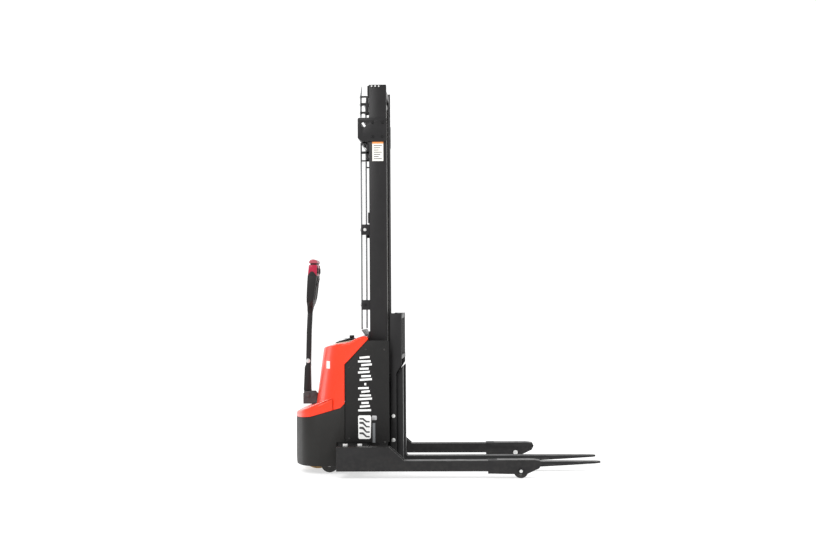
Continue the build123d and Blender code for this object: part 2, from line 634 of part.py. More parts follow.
HEAD_LOW = ARM_TOP + 0.2
HEAD_TOP = 1124.0
HEAD_OUTLINE = [
    (-811, HEAD_LOW), (-812, 925), (-810, 950), (-808.5, 985), (-806, 1050), (-801, HEAD_TOP),
    (-750, HEAD_TOP), (-753, 1090), (-759, 1045), (-765, 998), (-771, 970), (-777, 945), (-782, 920),
    (-784, HEAD_LOW),
]
HEAD_HALF = 108.0
LOOP = (38.0, 86.0, 985.0, 1096.0)
LIFT_BUTTON_Z = 1104.0
HORN_BUTTON_Z = 1074.0
LIFT_BUTTON_Y = 20.0
BUTTON_R = 8.2

with BuildPart() as tiller_head:
    side_profile(HEAD_OUTLINE, -HEAD_HALF, HEAD_HALF)
    for side in (-1, 1):
        # the head narrows to the neck
        with BuildSketch(Plane.YZ.offset(-850)) as shoulder:
            with BuildLine():
                Polyline(
                    (side * 19, HEAD_LOW - 2), (side * 22, 918), (side * 34, 938), (side * 70, 956),
                    (side * 98, 972), (side * HEAD_HALF, 996), (side * 130, 996), (side * 130, HEAD_LOW - 2),
                    close=True,
                )
            make_face()
        extrude(shoulder.sketch, amount=130, mode=Mode.SUBTRACT)
        y0, y1 = sorted((side * LOOP[0], side * LOOP[1]))
        block(-850, -730, y0, y1, LOOP[2], LOOP[3], Mode.SUBTRACT)
        bar((-750, side * LIFT_BUTTON_Y, LIFT_BUTTON_Z), BUTTON_R + 0.4, 50, "x", Mode.SUBTRACT)
    bar((-750, 0, HORN_BUTTON_Z), BUTTON_R + 0.4, 50, "x", Mode.SUBTRACT)
save(tiller_head.part, "tiller_head")

THROTTLE_X = -762.0
THROTTLE_Z = 1152.0
COVER_TOP = 1186.0
STEM_AT = (-771.0, 0.0)
STEM_R = 14.0

with BuildPart() as tiller_head_cover:
    side_profile(
        [(-801, HEAD_TOP + 0.2), (-794, COVER_TOP), (-747, COVER_TOP), (-747, 1150), (-750, HEAD_TOP + 0.2)],
        -100, 100,
    )
    both_sides(-781, -730, 34, 92, 1128, 1182, Mode.SUBTRACT)
    # pedestal inside the hollow belly button
    block(-786, -754, -82, 82, COVER_TOP, COVER_TOP + 13)
    bar((THROTTLE_X, 0, THROTTLE_Z), 8.05, 90, "y", Mode.SUBTRACT)
    bar((*STEM_AT, COVER_TOP), STEM_R + 0.3, 44, "z", Mode.SUBTRACT)
save(tiller_head_cover.part, "tiller_head_cover")

with BuildPart() as throttle:
    bar((THROTTLE_X, 0, THROTTLE_Z), 8, 166, "y")
    for side in (-1, 1):
        wing = sorted((side * 38, side * 83))
        side_profile(
            [(THROTTLE_X - 14, THROTTLE_Z - 10), (THROTTLE_X + 13, THROTTLE_Z - 20),
             (THROTTLE_X + 19, THROTTLE_Z - 14), (THROTTLE_X + 15, THROTTLE_Z),
             (THROTTLE_X + 19, THROTTLE_Z + 14), (THROTTLE_X + 13, THROTTLE_Z + 20),
             (THROTTLE_X - 14, THROTTLE_Z + 10)],
            wing[0], wing[1],
        )
save(throttle.part, "throttle")

BELLY_HALF = 92.0
BELLY_LOW = 1196.0

with BuildPart() as belly_button:
    side_profile(
        [(-794, BELLY_LOW), (-746, BELLY_LOW), (-746, 1204), (-753, 1214), (-764, 1218), (-776, 1218),
         (-787, 1214), (-794, 1205)],
        -BELLY_HALF, BELLY_HALF,
    )
    block(-790, -750, -BELLY_HALF + 4, BELLY_HALF - 4, BELLY_LOW - 1, BELLY_LOW + 14, Mode.SUBTRACT)
    bar((*STEM_AT, 1195), STEM_R, 34)
save(belly_button.part, "belly_button")

for name, y, z, face in (
    ("lift_button", -LIFT_BUTTON_Y, LIFT_BUTTON_Z, -747.5),
    ("lower_button", LIFT_BUTTON_Y, LIFT_BUTTON_Z, -747.5),
    ("horn_button", 0, HORN_BUTTON_Z, -751.5),
):
    with BuildPart() as button:
        bar((face - 5, y, z), BUTTON_R, 18, "x")
    save(button.part, name)

# ---- casters ----
for name, side in (("left", 1), ("right", -1)):
    y = side * CASTER_Y
    wheel_x = CASTER_X + CASTER_TRAIL
    with BuildPart() as caster_fork:
        bar((CASTER_X, y, 161), 12, 30)
        bar((CASTER_X, y, 148), 32, 11)
        for cheek in (-1, 1):
            faces = sorted((y + cheek * 20, y + cheek * 25))
            side_profile(
                [(CASTER_X - 22, 143), (CASTER_X + 26, 143), (wheel_x + 12, CASTER_R - 8),
                 (wheel_x - 12, CASTER_R - 8)],
                faces[0], faces[1],
            )
        block(CASTER_X - 22, CASTER_X + 26, y - 25, y + 25, 137, 143)
        bar((wheel_x, y, CASTER_R), 6, 60, "y")
    save(caster_fork.part, f"{name}_caster_fork")
    with BuildPart() as caster_wheel:
        bar((wheel_x, y, CASTER_R), CASTER_R, 34, "y")
        chamfer(caster_wheel.edges().filter_by(GeomType.CIRCLE), length=4)
        bar((wheel_x, y, CASTER_R), 14, 38, "y")
        bar((wheel_x, y, CASTER_R), 6.05, 60, "y", Mode.SUBTRACT)
    save(caster_wheel.part, f"{name}_caster_wheel")

# ---- inner mast ----
MAST_ROLLER_Z = 150.0
MAST_ROLLER_R = 38.6

with BuildPart() as inner_mast:
    for side in (-1, 1):
        web = sorted((side * INNER_HALF, side * (INNER_HALF - INNER_WEB)))
        flange = sorted((side * INNER_HALF, side * (INNER_HALF - INNER_FLANGE)))
        block(INNER_REAR_X, INNER_FRONT_X, web[0], web[1], 66, INNER_TOP)
        block(INNER_REAR_X, INNER_REAR_X + INNER_THICK, flange[0], flange[1], 66, INNER_TOP)
        block(INNER_FRONT_X - INNER_THICK, INNER_FRONT_X, flange[0], flange[1], 66, INNER_TOP)
        bar((MAST_MID_X, side * (INNER_HALF + 15), MAST_ROLLER_Z), 15, 34, "y")
    inside = INNER_HALF - INNER_FLANGE
    block(INNER_REAR_X, INNER_FRONT_X, -INNER_HALF + 4, INNER_HALF - 4, CROSSHEAD_Z, 2190)
    block(INNER_FRONT_X - 12, INNER_FRONT_X, -INNER_HALF + 4, INNER_HALF - 4, 66, 104)
    for side in (-1, 1):
        for face in (-1, 1):
            y = side * SHEAVE_Y + face * 14
            block(SHEAVE_X - 14, SHEAVE_X + 14, y - 2.5, y + 2.5, SHEAVE_Z - 16, CROSSHEAD_Z)
        bar((SHEAVE_X, side * SHEAVE_Y, SHEAVE_Z), 10, 38, "y")
save(inner_mast.part, "inner_mast")

with BuildPart() as lift_rods:
    for side in (-1, 1):
        bar((CYLINDER_X, side * CYLINDER_Y, (100 + CROSSHEAD_Z) / 2), 17.5, CROSSHEAD_Z - 100)
        bar((CYLINDER_X, side * CYLINDER_Y, 116), 19.95, 32)
save(lift_rods.part, "lift_rods")

for name, side in (("left_mast_roller", 1), ("right_mast_roller", -1)):
    with BuildPart() as mast_roller:
        bar((MAST_MID_X, side * 219.5, MAST_ROLLER_Z), MAST_ROLLER_R, 26, "y")
        chamfer(mast_roller.edges().filter_by(GeomType.CIRCLE), length=2)
        bar((MAST_MID_X, side * 219.5, MAST_ROLLER_Z), 15.05, 60, "y", Mode.SUBTRACT)
    save(mast_roller.part, name)

for name, side in (("left_chain_sheave", 1), ("right_chain_sheave", -1)):
    with BuildPart() as chain_sheave:
        bar((SHEAVE_X, side * SHEAVE_Y, SHEAVE_Z), SHEAVE_R + 6, 22, "y")
        with BuildPart(mode=Mode.PRIVATE) as groove:
            bar((SHEAVE_X, side * SHEAVE_Y, SHEAVE_Z), SHEAVE_R + 9, 16.4, "y")
            bar((SHEAVE_X, side * SHEAVE_Y, SHEAVE_Z), SHEAVE_R - 5.3, 18, "y", Mode.SUBTRACT)
        add(groove.part, mode=Mode.SUBTRACT)
        bar((SHEAVE_X, side * SHEAVE_Y, SHEAVE_Z), 10.05, 60, "y", Mode.SUBTRACT)
    save(chain_sheave.part, name)

# ---- lifting chains: strand to the carriage with its turn over the sheave, and strand to the anchor ----
CHAIN_HALF = 5.0
CHAIN_WIDE = 8.0
CHAIN_LOW = 414.0

with BuildPart() as carriage_chains:
    for side in (-1, 1):
        y = side * SHEAVE_Y
        x = SHEAVE_X + SHEAVE_R
        block(x - CHAIN_HALF, x + CHAIN_HALF, y - CHAIN_WIDE, y + CHAIN_WIDE, CHAIN_LOW, SHEAVE_Z)
        with BuildPart(mode=Mode.PRIVATE) as turn:
            bar((SHEAVE_X, y, SHEAVE_Z), SHEAVE_R + CHAIN_HALF, 2 * CHAIN_WIDE, "y")
            bar((SHEAVE_X, y, SHEAVE_Z), SHEAVE_R - CHAIN_HALF, 2 * CHAIN_WIDE + 2, "y", Mode.SUBTRACT)
            block(SHEAVE_X - 60, SHEAVE_X + 60, y - 20, y + 20, SHEAVE_Z - 60, SHEAVE_Z, Mode.SUBTRACT)
        add(turn.part)
save(carriage_chains.part, "carriage_chains")

with BuildPart() as anchor_chains:
    for side in (-1, 1):
        y = side * SHEAVE_Y
        x = SHEAVE_X - SHEAVE_R
        block(x - CHAIN_HALF, x + CHAIN_HALF, y - CHAIN_WIDE, y + CHAIN_WIDE, CHAIN_ANCHOR_Z, SHEAVE_Z - 0.5)
save(anchor_chains.part, "anchor_chains")

# ---- carriage, backrest and forks ----
CARRIAGE_ROLLER_R = 35.6
ROLLER_HEIGHTS = {"lower": 172.0, "upper": 432.0}
LOWER_BAR = (112.0, 176.0)
UPPER_BAR = (470.0, 544.0)

with BuildPart() as carriage_frame:
    for side in (-1, 1):
        plate = sorted((side * 140, side * 156))
        side_profile(
            [(CARRIAGE_REAR_X, 112), (-404, 128), (-410, 150), (-410, 200), (-340, 240), (-340, 370),
             (-410, 404), (-410, 454), (-396, 468), (BAR_FRONT_X, 536), (BAR_FRONT_X, 112)],
            plate[0], plate[1],
        )
        for z in ROLLER_HEIGHTS.values():
            bar((MAST_MID_X, side * 173, z), 12, 36, "y")
    for low, high in (LOWER_BAR, UPPER_BAR):
        block(CARRIAGE_REAR_X, BAR_FRONT_X, -258, 258, low, high)
    block(CARRIAGE_REAR_X - 2, CARRIAGE_REAR_X + 10, -140, 140, LOWER_BAR[1], UPPER_BAR[0])
    for side in (-1, 1):
        y = side * SHEAVE_Y
        block(SHEAVE_X + SHEAVE_R - 12, CARRIAGE_REAR_X + 10, y - 16, y + 16, 384, 400)
        bar((SHEAVE_X + SHEAVE_R, y, 399), 5, 30)
    both_sides(CARRIAGE_REAR_X, BAR_FRONT_X - 4, 250, 258, 150, 520)
save(carriage_frame.part, "carriage_frame")

for level, z in ROLLER_HEIGHTS.items():
    for name, side in (("left", 1), ("right", -1)):
        with BuildPart() as carriage_roller:
            bar((MAST_MID_X, side * 177.5, z), CARRIAGE_ROLLER_R, 25, "y")
            chamfer(carriage_roller.edges().filter_by(GeomType.CIRCLE), length=2)
            bar((MAST_MID_X, side * 177.5, z), 12.05, 60, "y", Mode.SUBTRACT)
        save(carriage_roller.part, f"{name}_{level}_carriage_roller")

POST_THICK = 12.0

with BuildPart() as load_backrest:
    for side in (-1, 1):
        post = sorted((side * CARRIAGE_HALF, side * (CARRIAGE_HALF - POST_THICK)))
        side_profile(
            [(CARRIAGE_REAR_X, 104), (CARRIAGE_REAR_X, BACKREST_TOP - 4), (CARRIAGE_REAR_X + 4, BACKREST_TOP),
             (BACKREST_FRONT_X, BACKREST_TOP), (BACKREST_FRONT_X, 612), (BACKREST_FRONT_X - 24, 574),
             (BAR_FRONT_X, 564), (BAR_FRONT_X, 104)],
            post[0], post[1],
        )
    inner_half = CARRIAGE_HALF - POST_THICK
    block(BACKREST_FRONT_X - 34, BACKREST_FRONT_X, -inner_half, inner_half, BACKREST_TOP - 30, BACKREST_TOP)
    block(BACKREST_FRONT_X - 12, BACKREST_FRONT_X, -inner_half, inner_half, 640, 664)
    for y in (-172, -86, 0, 86, 172):
        block(BACKREST_FRONT_X - 12, BACKREST_FRONT_X, y - 6, y + 6, 664, BACKREST_TOP - 30)
save(load_backrest.part, "load_backrest")

for name, side in (("left_fork", 1), ("right_fork", -1)):
    with BuildPart() as fork:
        y0 = side * FORK_Y - FORK_WIDTH / 2
        y1 = side * FORK_Y + FORK_WIDTH / 2
        shank_x = FORK_FRONT_X - FORK_THICK
        blade_top = FORK_LOW + FORK_THICK
        side_profile(
            [(shank_x, FORK_LOW + 24), (shank_x + 24, FORK_LOW), (400, FORK_LOW), (TIP_X, blade_top - 10),
             (TIP_X, blade_top), (FORK_FRONT_X + 12, blade_top), (FORK_FRONT_X, blade_top + 12),
             (FORK_FRONT_X, SHANK_TOP - 4), (FORK_FRONT_X - 4, SHANK_TOP), (shank_x, HOOK_TOP)],
            y0, y1,
        )
        # hooks over the upper bar and under the lower bar
        hook = (y0 + 10, y1 - 10)
        block(CARRIAGE_REAR_X - 12, shank_x, *hook, UPPER_BAR[1] + 1, HOOK_TOP)
        block(CARRIAGE_REAR_X - 12, CARRIAGE_REAR_X - 1, *hook, UPPER_BAR[1] - 18, HOOK_TOP)
        block(CARRIAGE_REAR_X + 10, shank_x, *hook, 94, LOWER_BAR[0] - 1)
        # tapered point
        for edge in (-1, 1):
            with BuildSketch(Plane.XY) as point:
                with BuildLine():
                    centre = side * FORK_Y
                    Polyline(
                        (TIP_X - 210, centre + edge * FORK_WIDTH / 2), (TIP_X - 30, centre + edge * 38),
                        (TIP_X, centre + edge * 20), (TIP_X + 10, centre + edge * 20),
                        (TIP_X + 10, centre + edge * 60), (TIP_X - 210, centre + edge * 60), close=True,
                    )
                make_face()
            extrude(point.sketch, amount=80, mode=Mode.SUBTRACT)
    save(fork.part, name)

# ---- fasteners that show ----
with BuildPart() as frame_bolts:
    for side in (-1, 1):
        for x in (BLOCK_REAR_X + 47, BLOCK_REAR_X + 126):
            hex_bolt(x, side * 560, BLOCK_TOP, 24, 16, 8, 12)
        # shouldered axle bolt of the load wheel
        bar((LOAD_WHEEL_X, side * 560, LOAD_WHEEL_R), AXLE_R, 104, "y")
        for face in (-1, 1):
            bar((LOAD_WHEEL_X, side * 560 + face * 53, LOAD_WHEEL_R), AXLE_R + 4, 4, "y")
        # three cap screws at the mast's top
        for x in (-414, -394, -374):
            bar((x, side * (OUTER_HALF + 2), 2202), 5, 4, "y")
save(frame_bolts.part, "frame_bolts")

with BuildPart() as carriage_bolts:
    for side in (-1, 1):
        for z in (320, 184):
            bar((-300, side * (CARRIAGE_HALF + 3.5), z), 11, 7, "y")
save(carriage_bolts.part, "carriage_bolts")
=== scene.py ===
import json
import random
from math import cos, pi, radians, sin

import bmesh
import bpy
from mathutils import Matrix, Vector
from mathutils.bvhtree import BVHTree


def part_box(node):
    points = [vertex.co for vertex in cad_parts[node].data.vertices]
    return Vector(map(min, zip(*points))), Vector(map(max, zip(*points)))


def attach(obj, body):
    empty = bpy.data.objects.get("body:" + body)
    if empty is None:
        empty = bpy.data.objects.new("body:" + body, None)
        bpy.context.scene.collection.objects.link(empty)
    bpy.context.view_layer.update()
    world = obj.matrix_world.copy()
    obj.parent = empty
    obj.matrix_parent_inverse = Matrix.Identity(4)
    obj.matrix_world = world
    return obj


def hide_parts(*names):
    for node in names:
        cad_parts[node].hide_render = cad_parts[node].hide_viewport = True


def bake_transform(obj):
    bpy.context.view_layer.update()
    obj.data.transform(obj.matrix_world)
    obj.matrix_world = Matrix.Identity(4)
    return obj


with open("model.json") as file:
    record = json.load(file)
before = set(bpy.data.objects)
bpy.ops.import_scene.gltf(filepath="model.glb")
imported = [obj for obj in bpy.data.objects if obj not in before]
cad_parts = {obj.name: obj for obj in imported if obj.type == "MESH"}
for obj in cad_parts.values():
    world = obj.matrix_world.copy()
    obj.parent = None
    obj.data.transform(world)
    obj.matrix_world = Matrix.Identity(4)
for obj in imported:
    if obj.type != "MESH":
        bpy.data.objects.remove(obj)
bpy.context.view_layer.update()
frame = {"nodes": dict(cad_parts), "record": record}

MM = 0.001
random.seed(7)


# ======================================================================
# Shader maths: an expression on signals adds the Math nodes it needs
# ======================================================================
class Signal:
    """A number that varies over a surface."""

    def __init__(self, finish, socket):
        self.finish = finish
        self.socket = socket

    def maths(self, operation, *terms):
        node = self.finish.tree.nodes.new("ShaderNodeMath")
        node.operation = operation
        for slot, term in zip(node.inputs, terms):
            self.finish.feed(slot, term)
        return Signal(self.finish, node.outputs[0])

    def __add__(self, other):
        return self.maths("ADD", self, other)

    __radd__ = __add__

    def __mul__(self, other):
        return self.maths("MULTIPLY", self, other)

    __rmul__ = __mul__

    def __sub__(self, other):
        return self.maths("SUBTRACT", self, other)

    def __rsub__(self, other):
        return self.maths("SUBTRACT", other, self)

    def ramp(self, low, high):
        """0 below low, 1 above high, straight between."""
        node = self.finish.tree.nodes.new("ShaderNodeMapRange")
        node.clamp = True
        self.finish.feed(node.inputs[0], self)
        node.inputs[1].default_value = low
        node.inputs[2].default_value = high
        return Signal(self.finish, node.outputs[0])

    def wave(self):
        return self.maths("SINE", self)


class Finish:
    """One material: a Principled shader and what feeds it."""

    def __init__(self, name, **constants):
        self.material = bpy.data.materials.new(name)
        self.material.use_nodes = True
        self.tree = self.material.node_tree
        self.shader = self.tree.nodes["Principled BSDF"]
        for socket, value in constants.items():
            self.shader.inputs[socket.replace("_", " ")].default_value = value
        self.place = self.add("ShaderNodeTexCoord").node.outputs["Object"]

    def feed(self, socket, value):
        if isinstance(value, Signal):
            self.tree.links.new(value.socket, socket)
        elif isinstance(value, bpy.types.NodeSocket):
            self.tree.links.new(value, socket)
        elif isinstance(value, (tuple, list)) and len(value) == 3 and socket.type == "RGBA":
            socket.default_value = (*value, 1.0)
        else:
            socket.default_value = value

    def add(self, kind, settings=None, inputs=None, output=0):
        """Any other node: its settings first, then its sockets."""
        node = self.tree.nodes.new(kind)
        for setting, value in (settings or {}).items():
            setattr(node, setting, value)
        for slot, value in (inputs or {}).items():
            self.feed(node.inputs[slot], value)
        result = Signal(self, node.outputs[output])
        result.node = node
        return result

    def noise(self, scale, detail=3.0, roughness=0.55, stretch=None):
        return self.add(
            "ShaderNodeTexNoise", None,
            {"Vector": self.scaled(stretch), "Scale": scale, "Detail": detail, "Roughness": roughness},
        )

    def cells(self, scale, feature="F1"):
        return self.add("ShaderNodeTexVoronoi", {"feature": feature}, {"Vector": self.place, "Scale": scale})

    def scaled(self, stretch):
        if stretch is None:
            return self.place
        return self.add(
            "ShaderNodeVectorMath", {"operation": "MULTIPLY"}, {0: self.place, 1: stretch}
        ).socket

    def along(self, axis):
        return self.add("ShaderNodeSeparateXYZ", None, {0: self.place}, "XYZ".index(axis))

    def facing_up(self):
        normal = self.add("ShaderNodeNewGeometry", None, None, 1)
        return self.add("ShaderNodeSeparateXYZ", None, {0: normal}, 2)

    def mix(self, factor, first, second):
        """Two colours mixed by a factor."""
        return self.add(
            "ShaderNodeMix", {"data_type": "RGBA"}, {0: factor, 6: first, 7: second}, 2
        )

    def colour(self, value):
        self.feed(self.shader.inputs["Base Color"], value)

    def rough(self, value):
        self.feed(self.shader.inputs["Roughness"], value)

    def metal(self, value):
        self.feed(self.shader.inputs["Metallic"], value)

    def bump(self, height, distance, strength=1.0):
        normal = self.add(
            "ShaderNodeBump", None, {"Strength": strength, "Distance": distance, "Height": height}
        )
        self.feed(self.shader.inputs["Normal"], normal)


# ======================================================================
# Finishes
# ======================================================================
def painted_steel(name, tone=(0.0075, 0.0072, 0.0076), gloss=0.38, dust=0.5):
    """Powder-coated steel: fine orange peel, uneven gloss, dust on what faces up and near the floor."""
    f = Finish(name, Specular_IOR_Level=0.27)
    peel = f.noise(420, 2)
    cloud = f.noise(9, 4)
    scuff = f.noise(60, 5, 0.7, (1.0, 1.0, 0.22)).ramp(0.62, 0.74)
    grime = (f.noise(26, 6, 0.65).ramp(0.42, 0.72)) * (f.facing_up().ramp(0.35, 0.95) * dust + 0.05)
    low = (1 - f.along("Z").ramp(0.02, 0.2)) * f.noise(40, 4).ramp(0.4, 0.7) * 0.35
    lighter = tuple(c * 1.6 + 0.001 for c in tone)
    worn = f.mix(cloud, tone, lighter)
    worn = f.mix(scuff * 0.1, worn, (0.08, 0.078, 0.075))
    f.colour(f.mix((grime + low) * 0.4, worn, (0.085, 0.078, 0.07)))
    f.rough(cloud * 0.14 + scuff * 0.12 + grime * 0.3 + gloss - 0.05)
    f.bump(peel + scuff * 0.4, 0.00012, 0.55)
    return f.material


def fork_paint(name):
    """Forged fork: black paint rubbed through to bright steel along the blade's top and at the tip."""
    f = Finish(name, Specular_IOR_Level=0.27)
    travel = f.along("X")
    height = f.along("Z")
    rub = f.noise(70, 6, 0.7, (0.12, 1.0, 1.0))
    on_blade = (1 - height.ramp(0.056, 0.07)) * f.facing_up().ramp(0.5, 0.9)
    tip = travel.ramp(0.45, 0.86)
    bare = (rub.ramp(0.5, 0.7) * on_blade * (tip * 0.75 + 0.12)) + rub.ramp(0.56, 0.66) * tip * 0.35
    peel = f.noise(380, 2)
    paint = f.mix(f.noise(12, 4), (0.0075, 0.0075, 0.008), (0.013, 0.013, 0.0135))
    steel = f.mix(f.noise(200, 3, 0.6, (0.1, 1, 1)), (0.22, 0.21, 0.2), (0.42, 0.41, 0.4))
    f.colour(f.mix(bare, paint, steel))
    f.metal(bare * 0.9)
    f.rough(0.36 + rub * 0.16 - bare * 0.05)
    f.bump(peel * 0.5 - bare * 0.6 + f.noise(30, 3) * 0.3, 0.0002, 0.5)
    return f.material


def hood_moulding(name):
    """Glossy pigmented moulding with faint orange peel, hairline scratches and a little dust."""
    f = Finish(name, Coat_Roughness=0.12, Specular_IOR_Level=0.22)
    cloud = f.noise(5, 3)
    scratch = f.noise(240, 3, 0.6, (0.08, 1.0, 1.0)).ramp(0.66, 0.72)
    grime = f.noise(34, 6, 0.7).ramp(0.5, 0.8) * f.facing_up().ramp(0.55, 1.0)
    base = f.mix(cloud, (0.80, 0.036, 0.010), (0.86, 0.048, 0.014))
    f.colour(f.mix(grime * 0.12 + scratch * 0.05, base, (0.85, 0.42, 0.32)))
    f.rough(0.26 + cloud * 0.06 + grime * 0.2 + scratch * 0.1)
    f.feed(f.shader.inputs["Coat Weight"], 0.14 - grime * 0.1)
    f.bump(f.noise(300, 2) + f.noise(22, 2) * 0.8, 0.00012, 0.35)
    return f.material


def grained_plastic(name, tone, grain=900, gloss=0.5, dust=0.35):
    """Moulded plastic with a leathery grain."""
    f = Finish(name, Specular_IOR_Level=0.28)
    pebble = f.cells(grain)
    fine = f.noise(grain * 1.6, 2)
    cloud = f.noise(7, 4)
    grime = f.noise(30, 6, 0.7).ramp(0.45, 0.75) * (f.facing_up().ramp(0.3, 0.9) * dust + 0.06)
    lighter = tuple(c * 1.4 + 0.001 for c in tone)
    f.colour(f.mix(grime * 0.4, f.mix(cloud, tone, lighter), (0.1, 0.092, 0.082)))
    f.rough(gloss + cloud * 0.1 + pebble * 0.1)
    f.bump(pebble * 0.7 + fine * 0.3, 0.00025, 0.5)
    return f.material


def glossy_plastic(name, tone, second, gloss=0.24):
    f = Finish(name, Coat_Roughness=0.1, Specular_IOR_Level=0.3)
    cloud = f.noise(40, 3)
    wear = f.noise(160, 5, 0.7).ramp(0.55, 0.75)
    f.colour(f.mix(cloud, tone, second))
    f.rough(gloss + cloud * 0.08 + wear * 0.16)
    f.feed(f.shader.inputs["Coat Weight"], 0.16 - wear * 0.1)
    f.bump(f.noise(700, 2), 0.00006, 0.4)
    return f.material


def soft_grip(name, tone=(0.011, 0.011, 0.012)):
    """Rubbery overmould: tiny diamonds and palm shine."""
    f = Finish(name)
    step = 2 * pi / 0.0032
    y, z = f.along("Y"), f.along("Z")
    knurl = ((y + z) * step).wave() * ((y - z) * step).wave()
    shine = f.noise(45, 4)
    f.colour(f.mix(shine, tone, tuple(c * 2.0 for c in tone)))
    f.rough(0.62 - shine * 0.2)
    f.bump(knurl * 0.5 + f.noise(900, 2) * 0.3, 0.0003, 0.5)
    return f.material


def polyurethane(name, tone=(0.36, 0.19, 0.045)):
    """Cast urethane tread with scuffs, embedded grit and a dirty running surface."""
    f = Finish(name)
    grit = f.cells(420).ramp(0.0, 0.22)
    dirt = f.noise(55, 6, 0.7).ramp(0.35, 0.7)
    f.colour(f.mix(dirt * 0.6, f.mix(f.noise(12, 3), tone, (0.46, 0.27, 0.08)), (0.06, 0.05, 0.04)))
    f.rough(0.42 + dirt * 0.25)
    f.bump(f.noise(260, 4) + (1 - grit) * 0.4, 0.0003, 0.6)
    return f.material


def hard_rubber(name, tone=(0.018, 0.018, 0.018)):
    f = Finish(name)
    dirt = f.noise(60, 6, 0.7).ramp(0.4, 0.75)
    f.colour(f.mix(dirt * 0.5, tone, (0.11, 0.1, 0.09)))
    f.rough(0.62 + dirt * 0.2)
    f.bump(f.noise(500, 4), 0.0003, 0.6)
    return f.material


def machined_steel(name, tone=(0.5, 0.5, 0.5), gloss=0.3, stretch=(1.0, 1.0, 0.05)):
    """Turned or ground steel: fine lines, a film of oil, some stain."""
    f = Finish(name)
    lines = f.noise(1400, 2, 0.5, stretch)
    stain = f.noise(34, 5, 0.65).ramp(0.45, 0.75)
    darker = tuple(c * 0.55 for c in tone)
    f.colour(f.mix(stain * 0.5, f.mix(lines, darker, tone), (0.14, 0.11, 0.08)))
    f.metal(1 - stain * 0.25)
    f.rough(gloss + stain * 0.2 + lines * 0.1)
    f.bump(lines, 0.00006, 0.4)
    return f.material


def zinc_plate(name):
    """Bright zinc: crystalline bloom with a faint yellow and blue cast."""
    f = Finish(name)
    bloom = f.cells(900)
    cast = f.noise(120, 3)
    f.colour(f.mix(bloom, f.mix(cast, (0.62, 0.62, 0.6), (0.7, 0.66, 0.54)), (0.74, 0.76, 0.8)))
    f.metal(0.95 - f.noise(200, 4).ramp(0.6, 0.8) * 0.3)
    f.rough(0.26 + bloom * 0.12 + cast * 0.1)
    f.bump(bloom + f.noise(1600, 2) * 0.4, 0.00005, 0.5)
    return f.material


def hard_chrome(name):
    f = Finish(name)
    oil = f.noise(18, 5, 0.6, (1, 1, 0.15)).ramp(0.45, 0.7)
    f.colour(f.mix(oil * 0.5, (0.78, 0.79, 0.8), (0.5, 0.45, 0.36)))
    f.metal(1 - oil * 0.08)
    f.rough(0.07 + oil * 0.14)
    f.bump(f.noise(900, 2, 0.5, (1, 1, 0.03)), 0.00002, 0.3)
    return f.material


def cast_iron(name, tone=(0.03, 0.031, 0.033)):
    """Sand casting under thin paint."""
    f = Finish(name)
    sand = f.noise(260, 5, 0.7)
    lumps = f.cells(150)
    grime = f.noise(28, 5).ramp(0.45, 0.75)
    f.colour(f.mix(grime * 0.5, f.mix(sand, tone, tuple(c * 1.8 for c in tone)), (0.07, 0.06, 0.05)))
    f.rough(0.5 + sand * 0.14)
    f.metal(sand.ramp(0.62, 0.8) * 0.3)
    f.bump(sand + lumps * 0.5, 0.0006, 0.6)
    return f.material


def oiled_chain(name):
    f = Finish(name)
    grease = f.noise(90, 5, 0.7).ramp(0.4, 0.7)
    f.colour(f.mix(grease, (0.2, 0.195, 0.185), (0.035, 0.03, 0.024)))
    f.metal(0.95 - grease * 0.5)
    f.rough(0.28 + grease * 0.2)
    f.bump(grease + f.noise(900, 3) * 0.3, 0.0002, 0.5)
    return f.material


def clear_sheet(name):
    """Polycarbonate: nearly clear, with a milky scuffed film and fine scratches."""
    f = Finish(name, IOR=1.2, Specular_IOR_Level=0.35)
    haze = f.noise(14, 5, 0.65).ramp(0.4, 0.8)
    scratch = f.noise(500, 3, 0.6, (1, 1, 0.06)).ramp(0.66, 0.74)
    f.colour(f.mix(haze, (0.86, 0.89, 0.91), (0.93, 0.94, 0.95)))
    f.rough(0.12 + haze * 0.12)
    f.feed(f.shader.inputs["Alpha"], 0.045 + haze * 0.03 + scratch * 0.07)
    f.bump(scratch + haze * 0.3, 0.00004, 0.3)
    return f.material


def sheet_edge(name):
    """The sawn edge of the clear sheet, where light gathers."""
    f = Finish(name)
    saw = f.noise(600, 3, 0.6, (1, 1, 0.3))
    f.colour(f.mix(saw, (0.10, 0.105, 0.11), (0.20, 0.21, 0.215)))
    f.rough(0.22 + saw * 0.2)
    f.feed(f.shader.inputs["Alpha"], 0.7 + saw * 0.2)
    f.bump(saw, 0.0001, 0.5)
    return f.material


def vinyl(name, tone, fade=0.08):
    """Printed film: satin, slightly uneven, with lifted specks."""
    f = Finish(name)
    cloud = f.noise(60, 4)
    specks = f.noise(420, 4, 0.7).ramp(0.68, 0.76)
    f.colour(f.mix(cloud * fade + specks * 0.25, tone, (0.42, 0.4, 0.37)))
    f.rough(0.38 + cloud * 0.12 + specks * 0.2)
    f.bump(cloud + specks, 0.00004, 0.4)
    return f.material


def display_glass(name):
    """Unlit display: near black with a faint green grain under gloss."""
    f = Finish(name, Coat_Roughness=0.04, Coat_Weight=0.8)
    grain = f.cells(2600)
    f.colour(f.mix(grain.ramp(0, 0.5), (0.012, 0.02, 0.016), (0.02, 0.035, 0.026)))
    f.rough(0.12 + f.noise(80, 3) * 0.08)
    f.bump(grain, 0.00002, 0.2)
    return f.material


